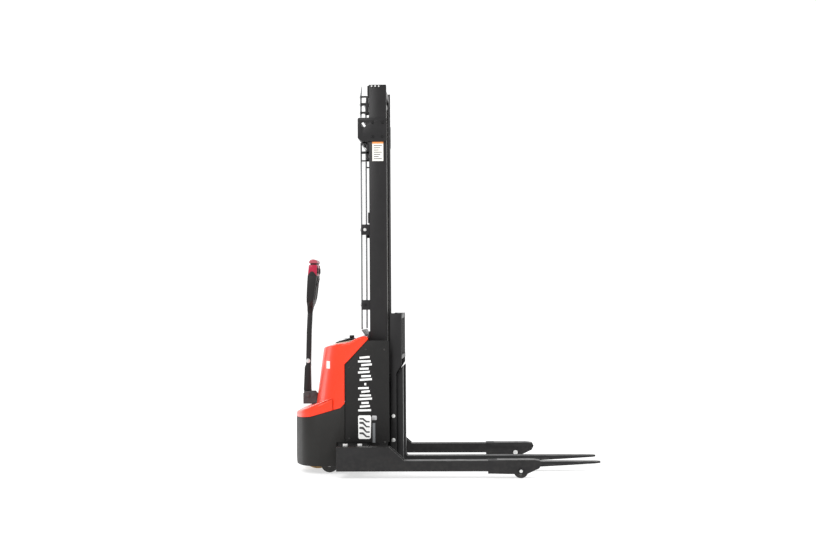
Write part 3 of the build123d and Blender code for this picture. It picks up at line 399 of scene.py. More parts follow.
def milky_tank(name):
    f = Finish(name, Subsurface_Weight=0.15, Subsurface_Radius=(0.02, 0.02, 0.015))
    cloud = f.noise(8, 4)
    f.colour(f.mix(cloud, (0.62, 0.6, 0.5), (0.7, 0.68, 0.6)))
    f.rough(0.42 + cloud * 0.14)
    f.bump(f.noise(220, 3), 0.0002, 0.5)
    return f.material


BLACK = painted_steel("powder_black")
BLACK_MAST = painted_steel("mast_black", (0.0075, 0.007, 0.0074), 0.36, 0.3)
FORK = fork_paint("fork_black")
HOOD = hood_moulding("hood_orange_red")
SKIRT = grained_plastic("skirt_dark", (0.0095, 0.009, 0.0082), 650, 0.42, 0.25)
PANEL = grained_plastic("panel_black", (0.0055, 0.0052, 0.005), 1100, 0.45)
HEAD = grained_plastic("head_black", (0.006, 0.0054, 0.0056), 1500, 0.42)
GRIP = soft_grip("grip_rubber")
CRIMSON = glossy_plastic("head_crimson", (0.33, 0.004, 0.032), (0.39, 0.007, 0.042))
# The belly button's cap: the head's crimson made lighter and pinker, a painted highlight of the gloss on its top.
CAP_PAINTED_HIGHLIGHT = glossy_plastic("cap_rose_painted_highlight", (0.34, 0.05, 0.075), (0.4, 0.075, 0.1), 0.34)
GREY = grained_plastic("button_grey", (0.12, 0.125, 0.13), 1800, 0.4)
TREAD = polyurethane("drive_urethane")
LOAD_TREAD = hard_rubber("load_urethane", (0.012, 0.011, 0.011))
RUBBER = hard_rubber("caster_rubber")
HOSE = hard_rubber("hose_rubber", (0.012, 0.012, 0.013))
STEEL = machined_steel("turned_steel", stretch=(0.2, 1.0, 0.2))
ZINC = zinc_plate("zinc_plate")
CHROME = hard_chrome("hard_chrome")
CAST = cast_iron("cast_painted")
ENAMEL = painted_steel("motor_enamel", (0.02, 0.021, 0.023), 0.28, 0.6)
CHAIN = oiled_chain("chain_oiled")
CLEAR = clear_sheet("guard_clear")
CLEAR_EDGE = sheet_edge("guard_edge")
LABEL = vinyl("label_cream", (0.8, 0.78, 0.72))
LABEL_BAND = vinyl("label_orange", (0.78, 0.26, 0.05))
LABEL_INK = vinyl("label_ink", (0.03, 0.03, 0.032))
STRIPE = vinyl("stripe_white", (0.84, 0.84, 0.83))
# Cream tone for the tube round the instrument panel: a painted highlight on the hood's rim.
RIM_HIGHLIGHT = vinyl("rim_highlight_cream", (0.74, 0.68, 0.5), 0.2)
DISPLAY = display_glass("display_dark")
TANK = milky_tank("tank_milky")
ALUMINIUM = machined_steel("cast_aluminium", (0.62, 0.62, 0.63), 0.38, (1, 1, 1))
CASE = grained_plastic("battery_case", (0.03, 0.03, 0.034), 500, 0.5)


# ======================================================================
# Mesh helpers
# ======================================================================
def shade(obj, angle=32):
    obj.data.shade_smooth()
    obj.data.set_sharp_from_angle(angle=radians(angle))
    return obj


def settle(obj):
    """Apply every modifier, so the piece is plain mesh."""
    graph = bpy.context.evaluated_depsgraph_get()
    done = bpy.data.meshes.new_from_object(obj.evaluated_get(graph))
    old = obj.data
    obj.modifiers.clear()
    obj.data = done
    bpy.data.meshes.remove(old)
    return obj


def piece(name, mesh, finish, body, node=None, angle=32):
    """A finished piece: its material, the body it rides on and what it stands for."""
    obj = bpy.data.objects.new(name, mesh)
    bpy.context.scene.collection.objects.link(obj)
    for material in finish if isinstance(finish, (list, tuple)) else [finish]:
        mesh.materials.append(material)
    shade(obj, angle)
    if body:
        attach(obj, body)
    if node:
        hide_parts(*([node] if isinstance(node, str) else node))
    return obj


def from_bmesh(bm, name):
    mesh = bpy.data.meshes.new(name)
    bm.normal_update()
    bm.to_mesh(mesh)
    bm.free()
    return mesh


BODY_OF = {node: body for body, nodes in frame["record"]["behaviour"]["bodies"].items() for node in nodes}


def softened(node, finish, width, segments=2, limit=28, name=None):
    """The node's shape with its machined edges broken, as a piece that stands for it."""
    bm = bmesh.new()
    bm.from_mesh(frame["nodes"][node].data)
    bmesh.ops.remove_doubles(bm, verts=bm.verts, dist=0.00002)
    bmesh.ops.dissolve_limit(
        bm, angle_limit=radians(0.6), verts=bm.verts, edges=bm.edges, delimit={"NORMAL"}
    )
    mesh = from_bmesh(bm, node)
    obj = piece(name or f"{node}_body", mesh, finish, BODY_OF[node], node)
    bevel = obj.modifiers.new("edge", "BEVEL")
    bevel.width = width * MM
    bevel.segments = segments
    bevel.limit_method = "ANGLE"
    bevel.angle_limit = radians(limit)
    bevel.harden_normals = False
    settle(obj)
    shade(obj, 40)
    return obj


def join(name, meshes):
    bm = bmesh.new()
    for mesh in meshes:
        bm.from_mesh(mesh)
        bpy.data.meshes.remove(mesh)
    return from_bmesh(bm, name)


TURNED = {
    "X": Matrix.Rotation(pi / 2, 4, "Y"), "-X": Matrix.Rotation(-pi / 2, 4, "Y"),
    "Y": Matrix.Rotation(-pi / 2, 4, "X"), "-Y": Matrix.Rotation(pi / 2, 4, "X"), "Z": Matrix.Identity(4),
}


def lathe(profile, centre, axis="Z", steps=48):
    """A turned shape: (radius, height) points spun about an axis through the centre."""
    bm = bmesh.new()
    rings = []
    for radius, height in profile:
        if radius < 1e-6:
            rings.append([bm.verts.new((0, 0, height))])
            continue
        rings.append([
            bm.verts.new((radius * cos(2 * pi * k / steps), radius * sin(2 * pi * k / steps), height))
            for k in range(steps)
        ])
    for low, high in zip(rings, rings[1:]):
        for k in range(steps):
            after = (k + 1) % steps
            corners = [low[k % len(low)], low[after % len(low)], high[after % len(high)], high[k % len(high)]]
            unique = list(dict.fromkeys(corners))
            if len(unique) > 2:
                bm.faces.new(unique)
    bmesh.ops.recalc_face_normals(bm, faces=bm.faces)
    bm.transform(Matrix.Translation(centre) @ TURNED[axis])
    return from_bmesh(bm, "lathe")


def prism(points, low, high, axis="Y", bevel=0.0, segments=2):
    """An outline of (a, b) points pushed from low to high along an axis, its edges rounded."""
    place = {
        "Y": lambda a, b, t: (a, t, b),
        "Z": lambda a, b, t: (a, b, t),
        "X": lambda a, b, t: (t, a, b),
    }[axis]
    bm = bmesh.new()
    first = [bm.verts.new(place(a, b, low)) for a, b in points]
    last = [bm.verts.new(place(a, b, high)) for a, b in points]
    bm.faces.new(first)
    bm.faces.new(last[::-1])
    count = len(points)
    for k in range(count):
        after = (k + 1) % count
        bm.faces.new((first[k], last[k], last[after], first[after]))
    bmesh.ops.recalc_face_normals(bm, faces=bm.faces)
    if bevel:
        edges = [e for e in bm.edges if e.calc_face_angle(0) > radians(28)]
        bmesh.ops.bevel(
            bm, geom=edges, offset=bevel, segments=segments, profile=0.5, affect="EDGES", clamp_overlap=True
        )
    return from_bmesh(bm, "prism")


def slab(low, high, bevel=0.001, segments=2):
    """A block between two corners with rounded edges."""
    (x0, y0, z0), (x1, y1, z1) = low, high
    return prism([(x0, z0), (x1, z0), (x1, z1), (x0, z1)], y0, y1, "Y", bevel, segments)


def tube(points, radius, steps=12, close=False):
    """A round tube through the points, bent smoothly."""
    curve = bpy.data.curves.new("tube", "CURVE")
    curve.dimensions = "3D"
    curve.bevel_depth = radius
    curve.bevel_resolution = max(2, steps // 4)
    curve.use_fill_caps = True
    spline = curve.splines.new("NURBS")
    spline.points.add(len(points) - 1)
    for slot_, point in zip(spline.points, points):
        slot_.co = (*point, 1.0)
    spline.order_u = 3
    spline.use_endpoint_u = not close
    spline.use_cyclic_u = close
    spline.resolution_u = 10
    carrier = bpy.data.objects.new("tube", curve)
    bpy.context.scene.collection.objects.link(carrier)
    graph = bpy.context.evaluated_depsgraph_get()
    mesh = bpy.data.meshes.new_from_object(carrier.evaluated_get(graph))
    bpy.data.objects.remove(carrier)
    bpy.data.curves.remove(curve)
    return mesh


def hexagon(centre, across, height, axis="Z"):
    """A bolt head with its chamfered crown and washer face."""
    radius = across / 2
    corner, rim = radius * 1.12, radius * 1.42
    head = lathe(
        [(0.0, height), (radius * 0.93, height), (corner, height * 0.86), (corner, height * 0.12),
         (corner, height * 0.1), (0.0, height * 0.1)], (0, 0, 0), "Z", 6,
    )
    washer = lathe(
        [(0.0, height * 0.16), (radius * 1.35, height * 0.16), (rim, height * 0.1), (rim, 0.0), (0.0, 0.0)],
        (0, 0, 0), "Z", 32,
    )
    mesh = join("hexagon", [head, washer])
    mesh.transform(Matrix.Translation(centre) @ TURNED[axis])
    return mesh


def socket_screw(centre, radius, height, axis="Y"):
    """A button-head cap screw with its hexagon recess."""
    dome = lathe(
        [(0.0, height * 0.35), (radius * 0.45, height * 0.35), (radius * 0.5, height * 0.98),
         (radius * 0.7, height * 0.92), (radius * 0.95, height * 0.45), (radius, 0.0), (0.0, 0.0)],
        (0, 0, 0), "Z", 24,
    )
    dome.transform(Matrix.Translation(centre) @ TURNED[axis])
    return dome


def weld(start, end, width=0.006, pitch=0.0032):
    """A weld bead: overlapping flattened drops along a seam."""
    start, end = Vector(start), Vector(end)
    run = end - start
    count = max(4, int(run.length / pitch))
    bm = bmesh.new()
    along = run.normalized()
    side = along.orthogonal().normalized()
    up = along.cross(side)
    ring = 8
    rows = []
    for k in range(count + 1):
        swell = width * 0.5 * (0.82 + 0.18 * (1 if k % 2 else 0) + random.uniform(-0.05, 0.05))
        middle = start + run * (k / count)
        rows.append([
            bm.verts.new(middle + (side * cos(2 * pi * j / ring) + up * sin(2 * pi * j / ring)) * swell)
            for j in range(ring)
        ])
    for low, high in zip(rows, rows[1:]):
        for j in range(ring):
            after = (j + 1) % ring
            bm.faces.new((low[j], low[after], high[after], high[j]))
    bm.faces.new(rows[0][::-1])
    bm.faces.new(rows[-1])
    bmesh.ops.recalc_face_normals(bm, faces=bm.faces)
    return from_bmesh(bm, "weld")


# ======================================================================
# Camera, light and floor
# ======================================================================
def set_camera():
    camera = bpy.data.objects.new("camera", bpy.data.cameras.new("camera"))
    bpy.context.scene.collection.objects.link(camera)
    camera.data.sensor_width = 36
    camera.data.lens = 72.4
    camera.data.clip_end = 100
    camera.location = (0.140, -9.6, 0.971)
    yaw, pitch, roll = radians(2.16), radians(1.006), radians(0.35)
    aim = Matrix.Rotation(yaw, 4, "Z") @ Matrix.Rotation(pi / 2 + pitch, 4, "X") @ Matrix.Rotation(-roll, 4, "Z")
    camera.rotation_euler = aim.to_euler()
    bpy.context.scene.camera = camera


def area_light(name, where, aim, size, power, tint=(1, 1, 1)):
    light = bpy.data.objects.new(name, bpy.data.lights.new(name, "AREA"))
    light.data.shape = "RECTANGLE"
    light.data.size, light.data.size_y = size
    light.data.energy = power
    light.data.color = tint
    light.location = where
    light.rotation_euler = (Vector(aim) - Vector(where)).to_track_quat("-Z", "Y").to_euler()
    bpy.context.scene.collection.objects.link(light)


def floor_finish():
    f = Finish("floor_pale", Emission_Strength=0.62, Specular_IOR_Level=0.2)
    f.shader.inputs["Emission Color"].default_value = (1, 1, 1, 1)
    cloud = f.noise(0.8, 3)
    f.colour(f.mix(cloud, (0.5, 0.5, 0.5), (0.53, 0.53, 0.53)))
    f.rough(0.7 + cloud * 0.1)
    f.bump(f.noise(60, 3), 0.0003, 0.15)
    return f.material


def set_studio():
    """A pale sweep: a floor that curves up far behind, with soft light from all round."""
    bm = bmesh.new()
    reach, rise, bend = 14.0, 9.0, 3.0
    profile = [(-16.0, 0.0), (reach - bend, 0.0)]
    profile += [
        (reach - bend + bend * sin(pi / 2 * k / 12), bend - bend * cos(pi / 2 * k / 12)) for k in range(1, 13)
    ]
    profile.append((reach, rise))
    rows = [[bm.verts.new((x, y, z)) for x in (-24.0, 24.0)] for y, z in profile]
    for near, far in zip(rows, rows[1:]):
        bm.faces.new((near[0], near[1], far[1], far[0]))
    mesh = from_bmesh(bm, "floor")
    mesh.materials.append(floor_finish())
    floor = bpy.data.objects.new("floor", mesh)
    bpy.context.scene.collection.objects.link(floor)
    floor.data.shade_smooth()
    world = bpy.data.worlds.new("studio")
    world.use_nodes = True
    world.node_tree.nodes["Background"].inputs[0].default_value = (1, 1, 1, 1)
    world.node_tree.nodes["Background"].inputs[1].default_value = 0.95
    bpy.context.scene.world = world
    bpy.context.scene.view_settings.view_transform = "Standard"
    area_light("key", (-3.4, -5.2, 4.6), (-0.3, 0, 0.9), (3.0, 3.0), 190)
    area_light("fill", (4.2, -4.0, 2.6), (0, 0, 0.8), (3.5, 3.5), 90)
    area_light("rim", (-3.0, 4.5, 4.0), (-0.3, 0, 1.0), (3.0, 3.0), 130)


set_camera()
set_studio()


# ======================================================================
# Plain steel and moulded pieces: the CAD shape with broken edges
# ======================================================================
SOFTENED = {
    "chassis_frame": (BLACK, 1.6), "rear_skirt": (SKIRT, 1.6), "side_panel_left": (PANEL, 1.2),
    "side_panel_right": (PANEL, 1.2), "instrument_panel": (PANEL, 1.8), "left_leg": (BLACK, 2.4),
    "right_leg": (BLACK, 2.4), "outer_channel_left": (BLACK_MAST, 2.6), "outer_channel_right": (BLACK_MAST, 2.6),
    "mast_crossbars": (BLACK, 1.5), "lifting_bracket": (BLACK, 1.8), "lift_cylinders": (ENAMEL, 1.2),
    "battery_pack": (CASE, 4.0), "battery_charger": (ALUMINIUM, 1.5), "motor_controller": (ALUMINIUM, 0.8),
    "hydraulic_pump": (ENAMEL, 1.0), "oil_tank": (TANK, 5.0), "drive_gearbox": (CAST, 3.0),
    "drive_motor": (ENAMEL, 2.0), "tiller_base": (CAST, 3.0), "tiller_pivot_pin": (CAST, 1.0),
    "drive_hub": (CAST, 2.0), "tiller_arm": (BLACK, 3.0), "inner_mast": (BLACK_MAST, 2.2),
    "lift_rods": (CHROME, 1.0), "left_mast_roller": (STEEL, 0.8), "right_mast_roller": (STEEL, 0.8),
    "left_chain_sheave": (STEEL, 0.8), "right_chain_sheave": (STEEL, 0.8), "carriage_frame": (BLACK, 2.0),
    "load_backrest": (BLACK, 2.0), "left_fork": (FORK, 4.0), "right_fork": (FORK, 4.0),
    "left_lower_carriage_roller": (STEEL, 0.8), "right_lower_carriage_roller": (STEEL, 0.8),
    "left_upper_carriage_roller": (STEEL, 0.8), "right_upper_carriage_roller": (STEEL, 0.8),
    "left_caster_fork": (ZINC, 1.2), "right_caster_fork": (ZINC, 1.2), "key_switch": (ZINC, 0.6),
    "throttle": (HEAD, 3.5), "lift_button": (GREY, 1.6), "lower_button": (GREY, 1.6), "horn_button": (GREY, 1.6),
    "tiller_head": (HEAD, 6.0), "tiller_head_cover": (CRIMSON, 6.0), "belly_button": (CAP_PAINTED_HIGHLIGHT, 5.0),
    "hood": (HOOD, 1.6), "drive_tyre": (TREAD, 2.0), "left_load_wheel": (LOAD_TREAD, 1.5),
    "right_load_wheel": (LOAD_TREAD, 1.5), "left_caster_wheel": (RUBBER, 2.0), "right_caster_wheel": (RUBBER, 2.0),
    "frame_bolts": (ZINC, 0.8), "carriage_bolts": (ZINC, 1.0), "mast_guard": (CLEAR, 0.4),
    "hydraulic_hoses": (HOSE, 0.5), "power_disconnect": (HEAD, 2.0),
}
for node_name, (finish_, width_) in SOFTENED.items():
    softened(node_name, finish_, width_)


# ======================================================================
# Where a surface lies, so that small parts sit on it
# ======================================================================
def surface(node, start, direction):
    """The point and outward normal where a ray from start first meets a node."""
    mesh = frame["nodes"][node].data
    tree = BVHTree.FromPolygons([v.co for v in mesh.vertices], [p.vertices for p in mesh.polygons])
    point, normal, _, _ = tree.ray_cast(Vector(start), Vector(direction))
    return point, normal


def top_of(node, x, y):
    return surface(node, (x, y, 3.0), (0, 0, -1))[0].z


# ======================================================================
# Mast: label, guard edges, screws, stays and welds
# ======================================================================
def label_mast():
    """A blank capacity label on the right channel: cream film, an orange band, plain grey bars."""
    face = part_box("outer_channel_right")[0].y
    x0, x1, z0, z1 = -0.413, -0.350, 1.774, 1.884
    piece("mast_label", slab((x0, face - 0.0005, z0), (x1, face, z1), 0.0002, 1), LABEL, "chassis")
    piece(
        "mast_label_band", slab((x0, face - 0.0007, z1 - 0.011), (x1, face - 0.0004, z1), 0.0001, 1), LABEL_BAND,
        "chassis",
    )
    bars = []
    for row in range(7):
        z = z1 - 0.022 - row * 0.0125
        end = x1 - 0.008 - (row % 3) * 0.009
        bars.append(slab((x0 + 0.008, face - 0.0007, z - 0.0022), (end, face - 0.0004, z + 0.0022), 0.0001, 1))
    piece("mast_label_bars", join("bars", bars), LABEL_INK, "chassis")


def edge_guard():
    """The clear guard's sawn edges, its bent foot and its cap screws."""
    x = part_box("mast_guard")[0].x
    strips = []
    for side in (-1, 1):
        y = side * 0.225
        strips.append(slab((x - 0.0004, y - 0.0009, 0.812), (x + 0.0090, y + 0.0009, 1.880), 0.0003, 1))
        strips.append(slab((x - 0.0004, y - 0.0009, 2.030), (x + 0.0090, y + 0.0009, 2.150), 0.0003, 1))
        crown = [(x - 0.0004, 2.150), (x + 0.0090, 2.150), (x + 0.0125, 2.206), (x + 0.0088, 2.206)]
        strips.append(prism(crown, y - 0.0009, y + 0.0009))
    strips.append(slab((x - 0.0004, -0.225, 1.8790), (x + 0.0046, 0.225, 1.8804), 0.0003, 1))
    strips.append(slab((x - 0.0004, -0.225, 2.0296), (x + 0.0046, 0.225, 2.0308), 0.0003, 1))
    piece("guard_edges", join("edges", strips), CLEAR_EDGE, "chassis")
    foot = prism(
        [(x - 0.0006, 0.8075), (-0.4462, 0.7556), (-0.4452, 0.7572), (x + 0.0044, 0.8095)], -0.2262, 0.2262, "Y",
        0.0003, 1,
    )
    piece("guard_foot", foot, CLEAR_EDGE, "chassis")
    screws = []
    washers = []
    for z in (0.952, 1.382, 2.052, 2.100, 2.143):
        for side in (-1, 1):
            centre = (x - 0.0012, side * 0.215, z)
            screws.append(socket_screw(centre, 0.0055, 0.0045, "-X"))
            washers.append(lathe([(0, 0.0012), (0.0085, 0.0012), (0.009, 0.0004), (0.009, 0)], centre, "-X", 28))
    piece("guard_screws", join("screws", screws), ZINC, "chassis")
    piece("guard_washers", join("washers", washers), RUBBER, "chassis")


def bolt_brackets():
    """Recessed screws that hold the guard's angles and the lifting bracket to the channels."""
    heads, bright = [], []
    for side, turn in ((-1, "-Y"), (1, "Y")):
        heads.append(socket_screw((-0.458, side * 0.2422, 0.952), 0.0075, 0.005, turn))
        bright.append(socket_screw((-0.458, side * 0.2422, 1.382), 0.0095, 0.005, turn))
        for x, z in ((-0.352, 1.912), (-0.352, 1.996), (-0.410, 1.912), (-0.410, 1.996)):
            heads.append(socket_screw((x, side * 0.2532, z), 0.0085, 0.0055, turn))
        for x in (-0.414, -0.394, -0.374):
            bright.append(socket_screw((x, side * 0.2492, 2.202), 0.0056, 0.004, turn))
    piece("bracket_screws", join("screws", heads), BLACK, "chassis")
    piece("channel_screws", join("screws", bright), ZINC, "chassis")
    stays = []
    for side in (-1, 1):
        near, far = sorted((side * 0.2300, side * 0.2440))
        for low, high in ((1.772, 1.780), (1.816, 1.830), (1.868, 1.878)):
            stays.append(slab((-0.4778, near, low), (-0.4322, far, high), 0.0012, 2))
        for low, high in ((1.772, 1.878), (2.050, 2.146)):
            near, far = sorted((side * 0.2395, side * 0.2440))
            stays.append(slab((-0.4480, near, low), (-0.4325, far, high), 0.0010, 2))
            stays.append(slab((-0.4778, near, low), (-0.4735, far, high), 0.0010, 2))
    piece("guard_stays", join("stays", stays), BLACK, "chassis")


def weld_mast():
    """Beads where the cross bars, lifting bracket and stub beam meet the channels."""
    beads = []
    for side in (-1, 1):
        inner = side * 0.2052
        for low, high in ((0.110, 0.200), (0.740, 0.800), (1.420, 1.480), (1.840, 1.890)):
            beads.append(weld((-0.4325, inner, low + 0.004), (-0.4325, inner, high - 0.004), 0.006))
        beads.append(weld((-0.4325, side * 0.2458, 1.890), (-0.4325, side * 0.2458, 2.018), 0.005))
        beads.append(weld((-0.3325, side * 0.2458, 1.890), (-0.3325, side * 0.2458, 2.018), 0.005))
    piece("mast_welds", join("welds", beads), BLACK_MAST, "chassis")


# ======================================================================
# Lifting chains: links and pins round the sheaves and down both strands
# ======================================================================
PITCH = 0.0159


def strand(x, y, low, high):
    """Leaf-chain plates and pins on a straight run."""
    meshes = []
    count = int((high - low) / PITCH)
    for k in range(count):
        z = low + (k + 0.5) * PITCH
        lanes = (-0.0062, -0.0022, 0.0022, 0.0062) if k % 2 else (-0.0042, 0.0, 0.0042)
        for lane in lanes:
            outline = [
                (x - 0.0042, z - 0.0085), (x + 0.0042, z - 0.0085), (x + 0.0049, z - 0.004), (x + 0.0036, z),
                (x + 0.0049, z + 0.004), (x + 0.0042, z + 0.0085), (x - 0.0042, z + 0.0085), (x - 0.0049, z + 0.004),
                (x - 0.0036, z), (x - 0.0049, z - 0.004),
            ]
            meshes.append(prism(outline, y + lane - 0.00085, y + lane + 0.00085))
        meshes.append(lathe(
            [(0, 0.0079), (0.0019, 0.0079), (0.0024, 0.0074), (0.0024, -0.0074), (0.0019, -0.0079), (0, -0.0079)],
            (x, y, z - PITCH / 2), "Y", 10,
        ))
    return meshes


def wrap(centre_x, y, centre_z, radius):
    """Plates and pins over the top of a sheave."""
    meshes = []
    count = int(pi * radius / PITCH)
    for k in range(count):
        angle = pi * (k + 0.5) / count
        lanes = (-0.0062, -0.0022, 0.0022, 0.0062) if k % 2 else (-0.0042, 0.0, 0.0042)
        turned = Matrix.Translation((centre_x, y, centre_z)) @ Matrix.Rotation(-angle, 4, "Y")
        for lane in lanes:
            plate = prism(
                [(-radius - 0.0042, -0.0085), (-radius + 0.0042, -0.0085), (-radius + 0.0049, 0),
                 (-radius + 0.0042, 0.0085), (-radius - 0.0042, 0.0085), (-radius - 0.0049, 0)],
                lane - 0.00085, lane + 0.00085,
            )
            plate.transform(turned @ Matrix.Scale(-1, 4, (1, 0, 0)) @ Matrix.Scale(-1, 4, (0, 0, 1)))
            meshes.append(plate)
    return meshes


def hang_chains():
    front_low, front_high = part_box("carriage_chains")
    back_low, back_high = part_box("anchor_chains")
    sheave_x = (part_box("left_chain_sheave")[0].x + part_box("left_chain_sheave")[1].x) / 2
    sheave_z = (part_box("left_chain_sheave")[0].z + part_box("left_chain_sheave")[1].z) / 2
    front_x = front_high.x - 0.005
    back_x = (back_low.x + back_high.x) / 2
    fronts, backs, turns = [], [], []
    for side in (-1, 1):
        y = side * 0.045
        fronts += strand(front_x, y, front_low.z, sheave_z)
        backs += strand(back_x, y, back_low.z, back_high.z)
        turns += wrap(sheave_x, y, sheave_z, 0.035)
    turned = piece("sheave_chain", join("turn", turns), CHAIN, "inner_stage")
    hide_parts("carriage_chains")
    front = piece("carriage_strand", join("front", fronts), CHAIN, None)
    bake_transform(front)
    back = piece("anchor_strand", join("back", backs), CHAIN, None)
    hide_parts("anchor_chains")
    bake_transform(back)


# ======================================================================
# Body: side covers, hood, instrument panel
# ======================================================================
def dress_side_cover():
    """Plain stripes and a curved-bar plate on the right cover; a strip, latch and screws on both covers."""
    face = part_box("side_panel_right")[0].y
    out, deep = face - 0.0006, face + 0.0002
    blocks = []
    x0, x1 = -0.494, -0.416
    for row in range(14):
        low = 0.352 + row * 0.0208 + (0.026 if row > 6 else 0.0)
        start = x0 + (row % 3) * 0.009
        end = x1 - ((row + 1) % 4) * 0.006
        lean = 0.0045 if row % 2 else 0.0015
        outline = [(start, low), (end, low + lean), (end, low + lean + 0.0115), (start, low + 0.0115)]
        blocks.append(prism(outline, out, deep, "Y", 0.0002, 1))
    dash = [(-0.459, 0.499), (-0.448, 0.499), (-0.448, 0.5125), (-0.459, 0.5125)]
    blocks.append(prism(dash, out, deep, "Y", 0.0002, 1))
    piece("cover_blocks", join("blocks", blocks), STRIPE, "chassis")
    plate = prism(
        [(-0.494, 0.202), (-0.488, 0.197), (-0.432, 0.197), (-0.425, 0.203), (-0.421, 0.320), (-0.426, 0.330),
         (-0.488, 0.330), (-0.495, 0.324)], out, deep, "Y", 0.0002, 1,
    )
    piece("cover_plate", plate, STRIPE, "chassis")
    bars = []
    for z0, rise in ((0.206, 0.034), (0.232, 0.040), (0.262, 0.038), (0.290, 0.030)):
        bars.append(prism(
            [(-0.488, z0 + rise * 0.55), (-0.470, z0 + rise * 0.5), (-0.450, z0), (-0.430, z0), (-0.430, z0 + 0.008),
             (-0.447, z0 + 0.009), (-0.466, z0 + rise * 0.85), (-0.488, z0 + rise * 0.85)],
            out - 0.0003, out + 0.0001, "Y", 0.0001, 1,
        ))
    piece("cover_plate_bars", join("bars", bars), LABEL_INK, "chassis")
    for side, node in ((-1, "side_panel_right"), (1, "side_panel_left")):
        low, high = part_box(node)
        wall = low.y if side < 0 else high.y
        strip = slab((-0.4135, wall - 0.0012, 0.176), (-0.3985, wall + 0.0012, 0.287), 0.0006, 2)
        piece(f"{node}_strip", strip, GREY, "chassis")
        turn = "-Y" if side < 0 else "Y"
        latch = [
            prism([(-0.416, 0.306), (-0.413, 0.303), (-0.393, 0.303), (-0.390, 0.306), (-0.390, 0.325),
                   (-0.393, 0.328), (-0.413, 0.328), (-0.416, 0.325)], wall - 0.0016, wall + 0.0016, "Y", 0.0006, 2),
            lathe([(0, 0.0034), (0.0062, 0.0034), (0.0074, 0.0024), (0.0074, 0)], (-0.403, wall, 0.3155), turn, 32),
        ]
        piece(f"{node}_latch", join("latch", latch), ALUMINIUM, "chassis")
        screws = []
        for x, z in ((-0.545, 0.200), (-0.545, 0.600), (-0.345, 0.180), (-0.345, 0.700), (-0.450, 0.700)):
            spot = surface(node, (x, side * 0.6, z), (0, -side, 0))[0]
            if spot and abs(spot.y - wall) < 0.004:
                screws.append(socket_screw((x, spot.y, z), 0.0055, 0.0028, turn))
        if screws:
            piece(f"{node}_screws", join("screws", screws), RUBBER, "chassis")


def draped(node, x0, x1, z0, z1, lift, columns=10, rows=12):
    """A thin film over a curved side: a grid laid on a node along +Y, then given a thickness."""
    bm = bmesh.new()
    grid = []
    for j in range(rows + 1):
        line = []
        for i in range(columns + 1):
            x = x0 + (x1 - x0) * i / columns
            z = z0 + (z1 - z0) * j / rows
            point, normal = surface(node, (x, -0.9, z), (0, 1, 0))
            line.append(bm.verts.new(point + normal * lift))
        grid.append(line)
    for low, high in zip(grid, grid[1:]):
        for i in range(columns):
            bm.faces.new((low[i], low[i + 1], high[i + 1], high[i]))
    bmesh.ops.recalc_face_normals(bm, faces=bm.faces)
    bmesh.ops.solidify(bm, geom=bm.faces[:], thickness=-0.0004)
    return from_bmesh(bm, "film")


def label_hood():
    """A small blank film on the tower's right rear corner."""
    piece("hood_label", draped("hood", -0.680, -0.656, 0.592, 0.634, 0.0002), LABEL, "chassis")


def hood_line(x):
    """The height of the hood's rim round the instrument panel at x."""
    line = [(-0.760, 0.684), (-0.680, 0.716), (-0.640, 0.727), (-0.600, 0.734), (-0.540, 0.744), (-0.514, 0.759)]
    for (xa, za), (xb, zb) in zip(line, line[1:]):
        if x <= xb:
            return za + (zb - za) * (x - xa) / (xb - xa)
    return line[-1][1]


def paint_panel_rim_highlight():
    """A cream tube round the instrument panel's rim: a painted highlight along the hood's rim, not a gasket."""
    x0, x1, half, corner = -0.6435, -0.5345, 0.0975, 0.006
    loop = []
    for cx, cy, start in ((x1 - corner, half - corner, 0), (x0 + corner, half - corner, 90),
                          (x0 + corner, -half + corner, 180), (x1 - corner, -half + corner, 270)):
        for k in range(5):
            angle = radians(start + 22.5 * k)
            x, y = cx + corner * cos(angle), cy + corner * sin(angle)
            loop.append((x, y, hood_line(x) + 0.0012))
    piece("panel_rim_highlight", tube(loop, 0.0024, 12, True), RIM_HIGHLIGHT, "chassis")


def fill_panel():
    """The display, the key switch's ring, and the power disconnect's ribs and collar."""
    z = top_of("instrument_panel", -0.608, -0.018)
    glass = slab((-0.6315, -0.0595, z - 0.0002), (-0.5845, 0.0235, z + 0.0012), 0.0005, 2)
    piece("display", glass, DISPLAY, "chassis")
    low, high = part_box("key_switch")
    x, y = (low.x + high.x) / 2, (low.y + high.y) / 2
    bezel = lathe(
        [(0.0112, 0), (0.0146, 0), (0.0146, 0.0014), (0.0132, 0.0026), (0.0118, 0.0026), (0.0112, 0.0016),
         (0.0112, 0)], (x, y, top_of("instrument_panel", x + 0.0165, y)), "Z", 48,
    )
    piece("key_bezel", bezel, CHROME, "chassis")
    low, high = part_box("power_disconnect")
    ribs = []
    for k in range(5):
        x = low.x + 0.004 + k * (high.x - low.x - 0.008) / 4
        ribs.append(slab((x - 0.0011, low.y + 0.003, high.z - 0.0004), (x + 0.0011, high.y - 0.003, high.z + 0.0008)))
    piece("disconnect_ribs", join("ribs", ribs), HEAD, "disconnect_plunger")
    collar = lathe(
        [(0.0084, 0), (0.0125, 0), (0.0125, 0.0006), (0.0108, 0.0009), (0.0084, 0.0009)],
        ((low.x + high.x) / 2, 0, top_of("instrument_panel", (low.x + high.x) / 2 - 0.0145, 0)), "Z", 40,
    )
    piece("disconnect_collar", collar, ALUMINIUM, "chassis")


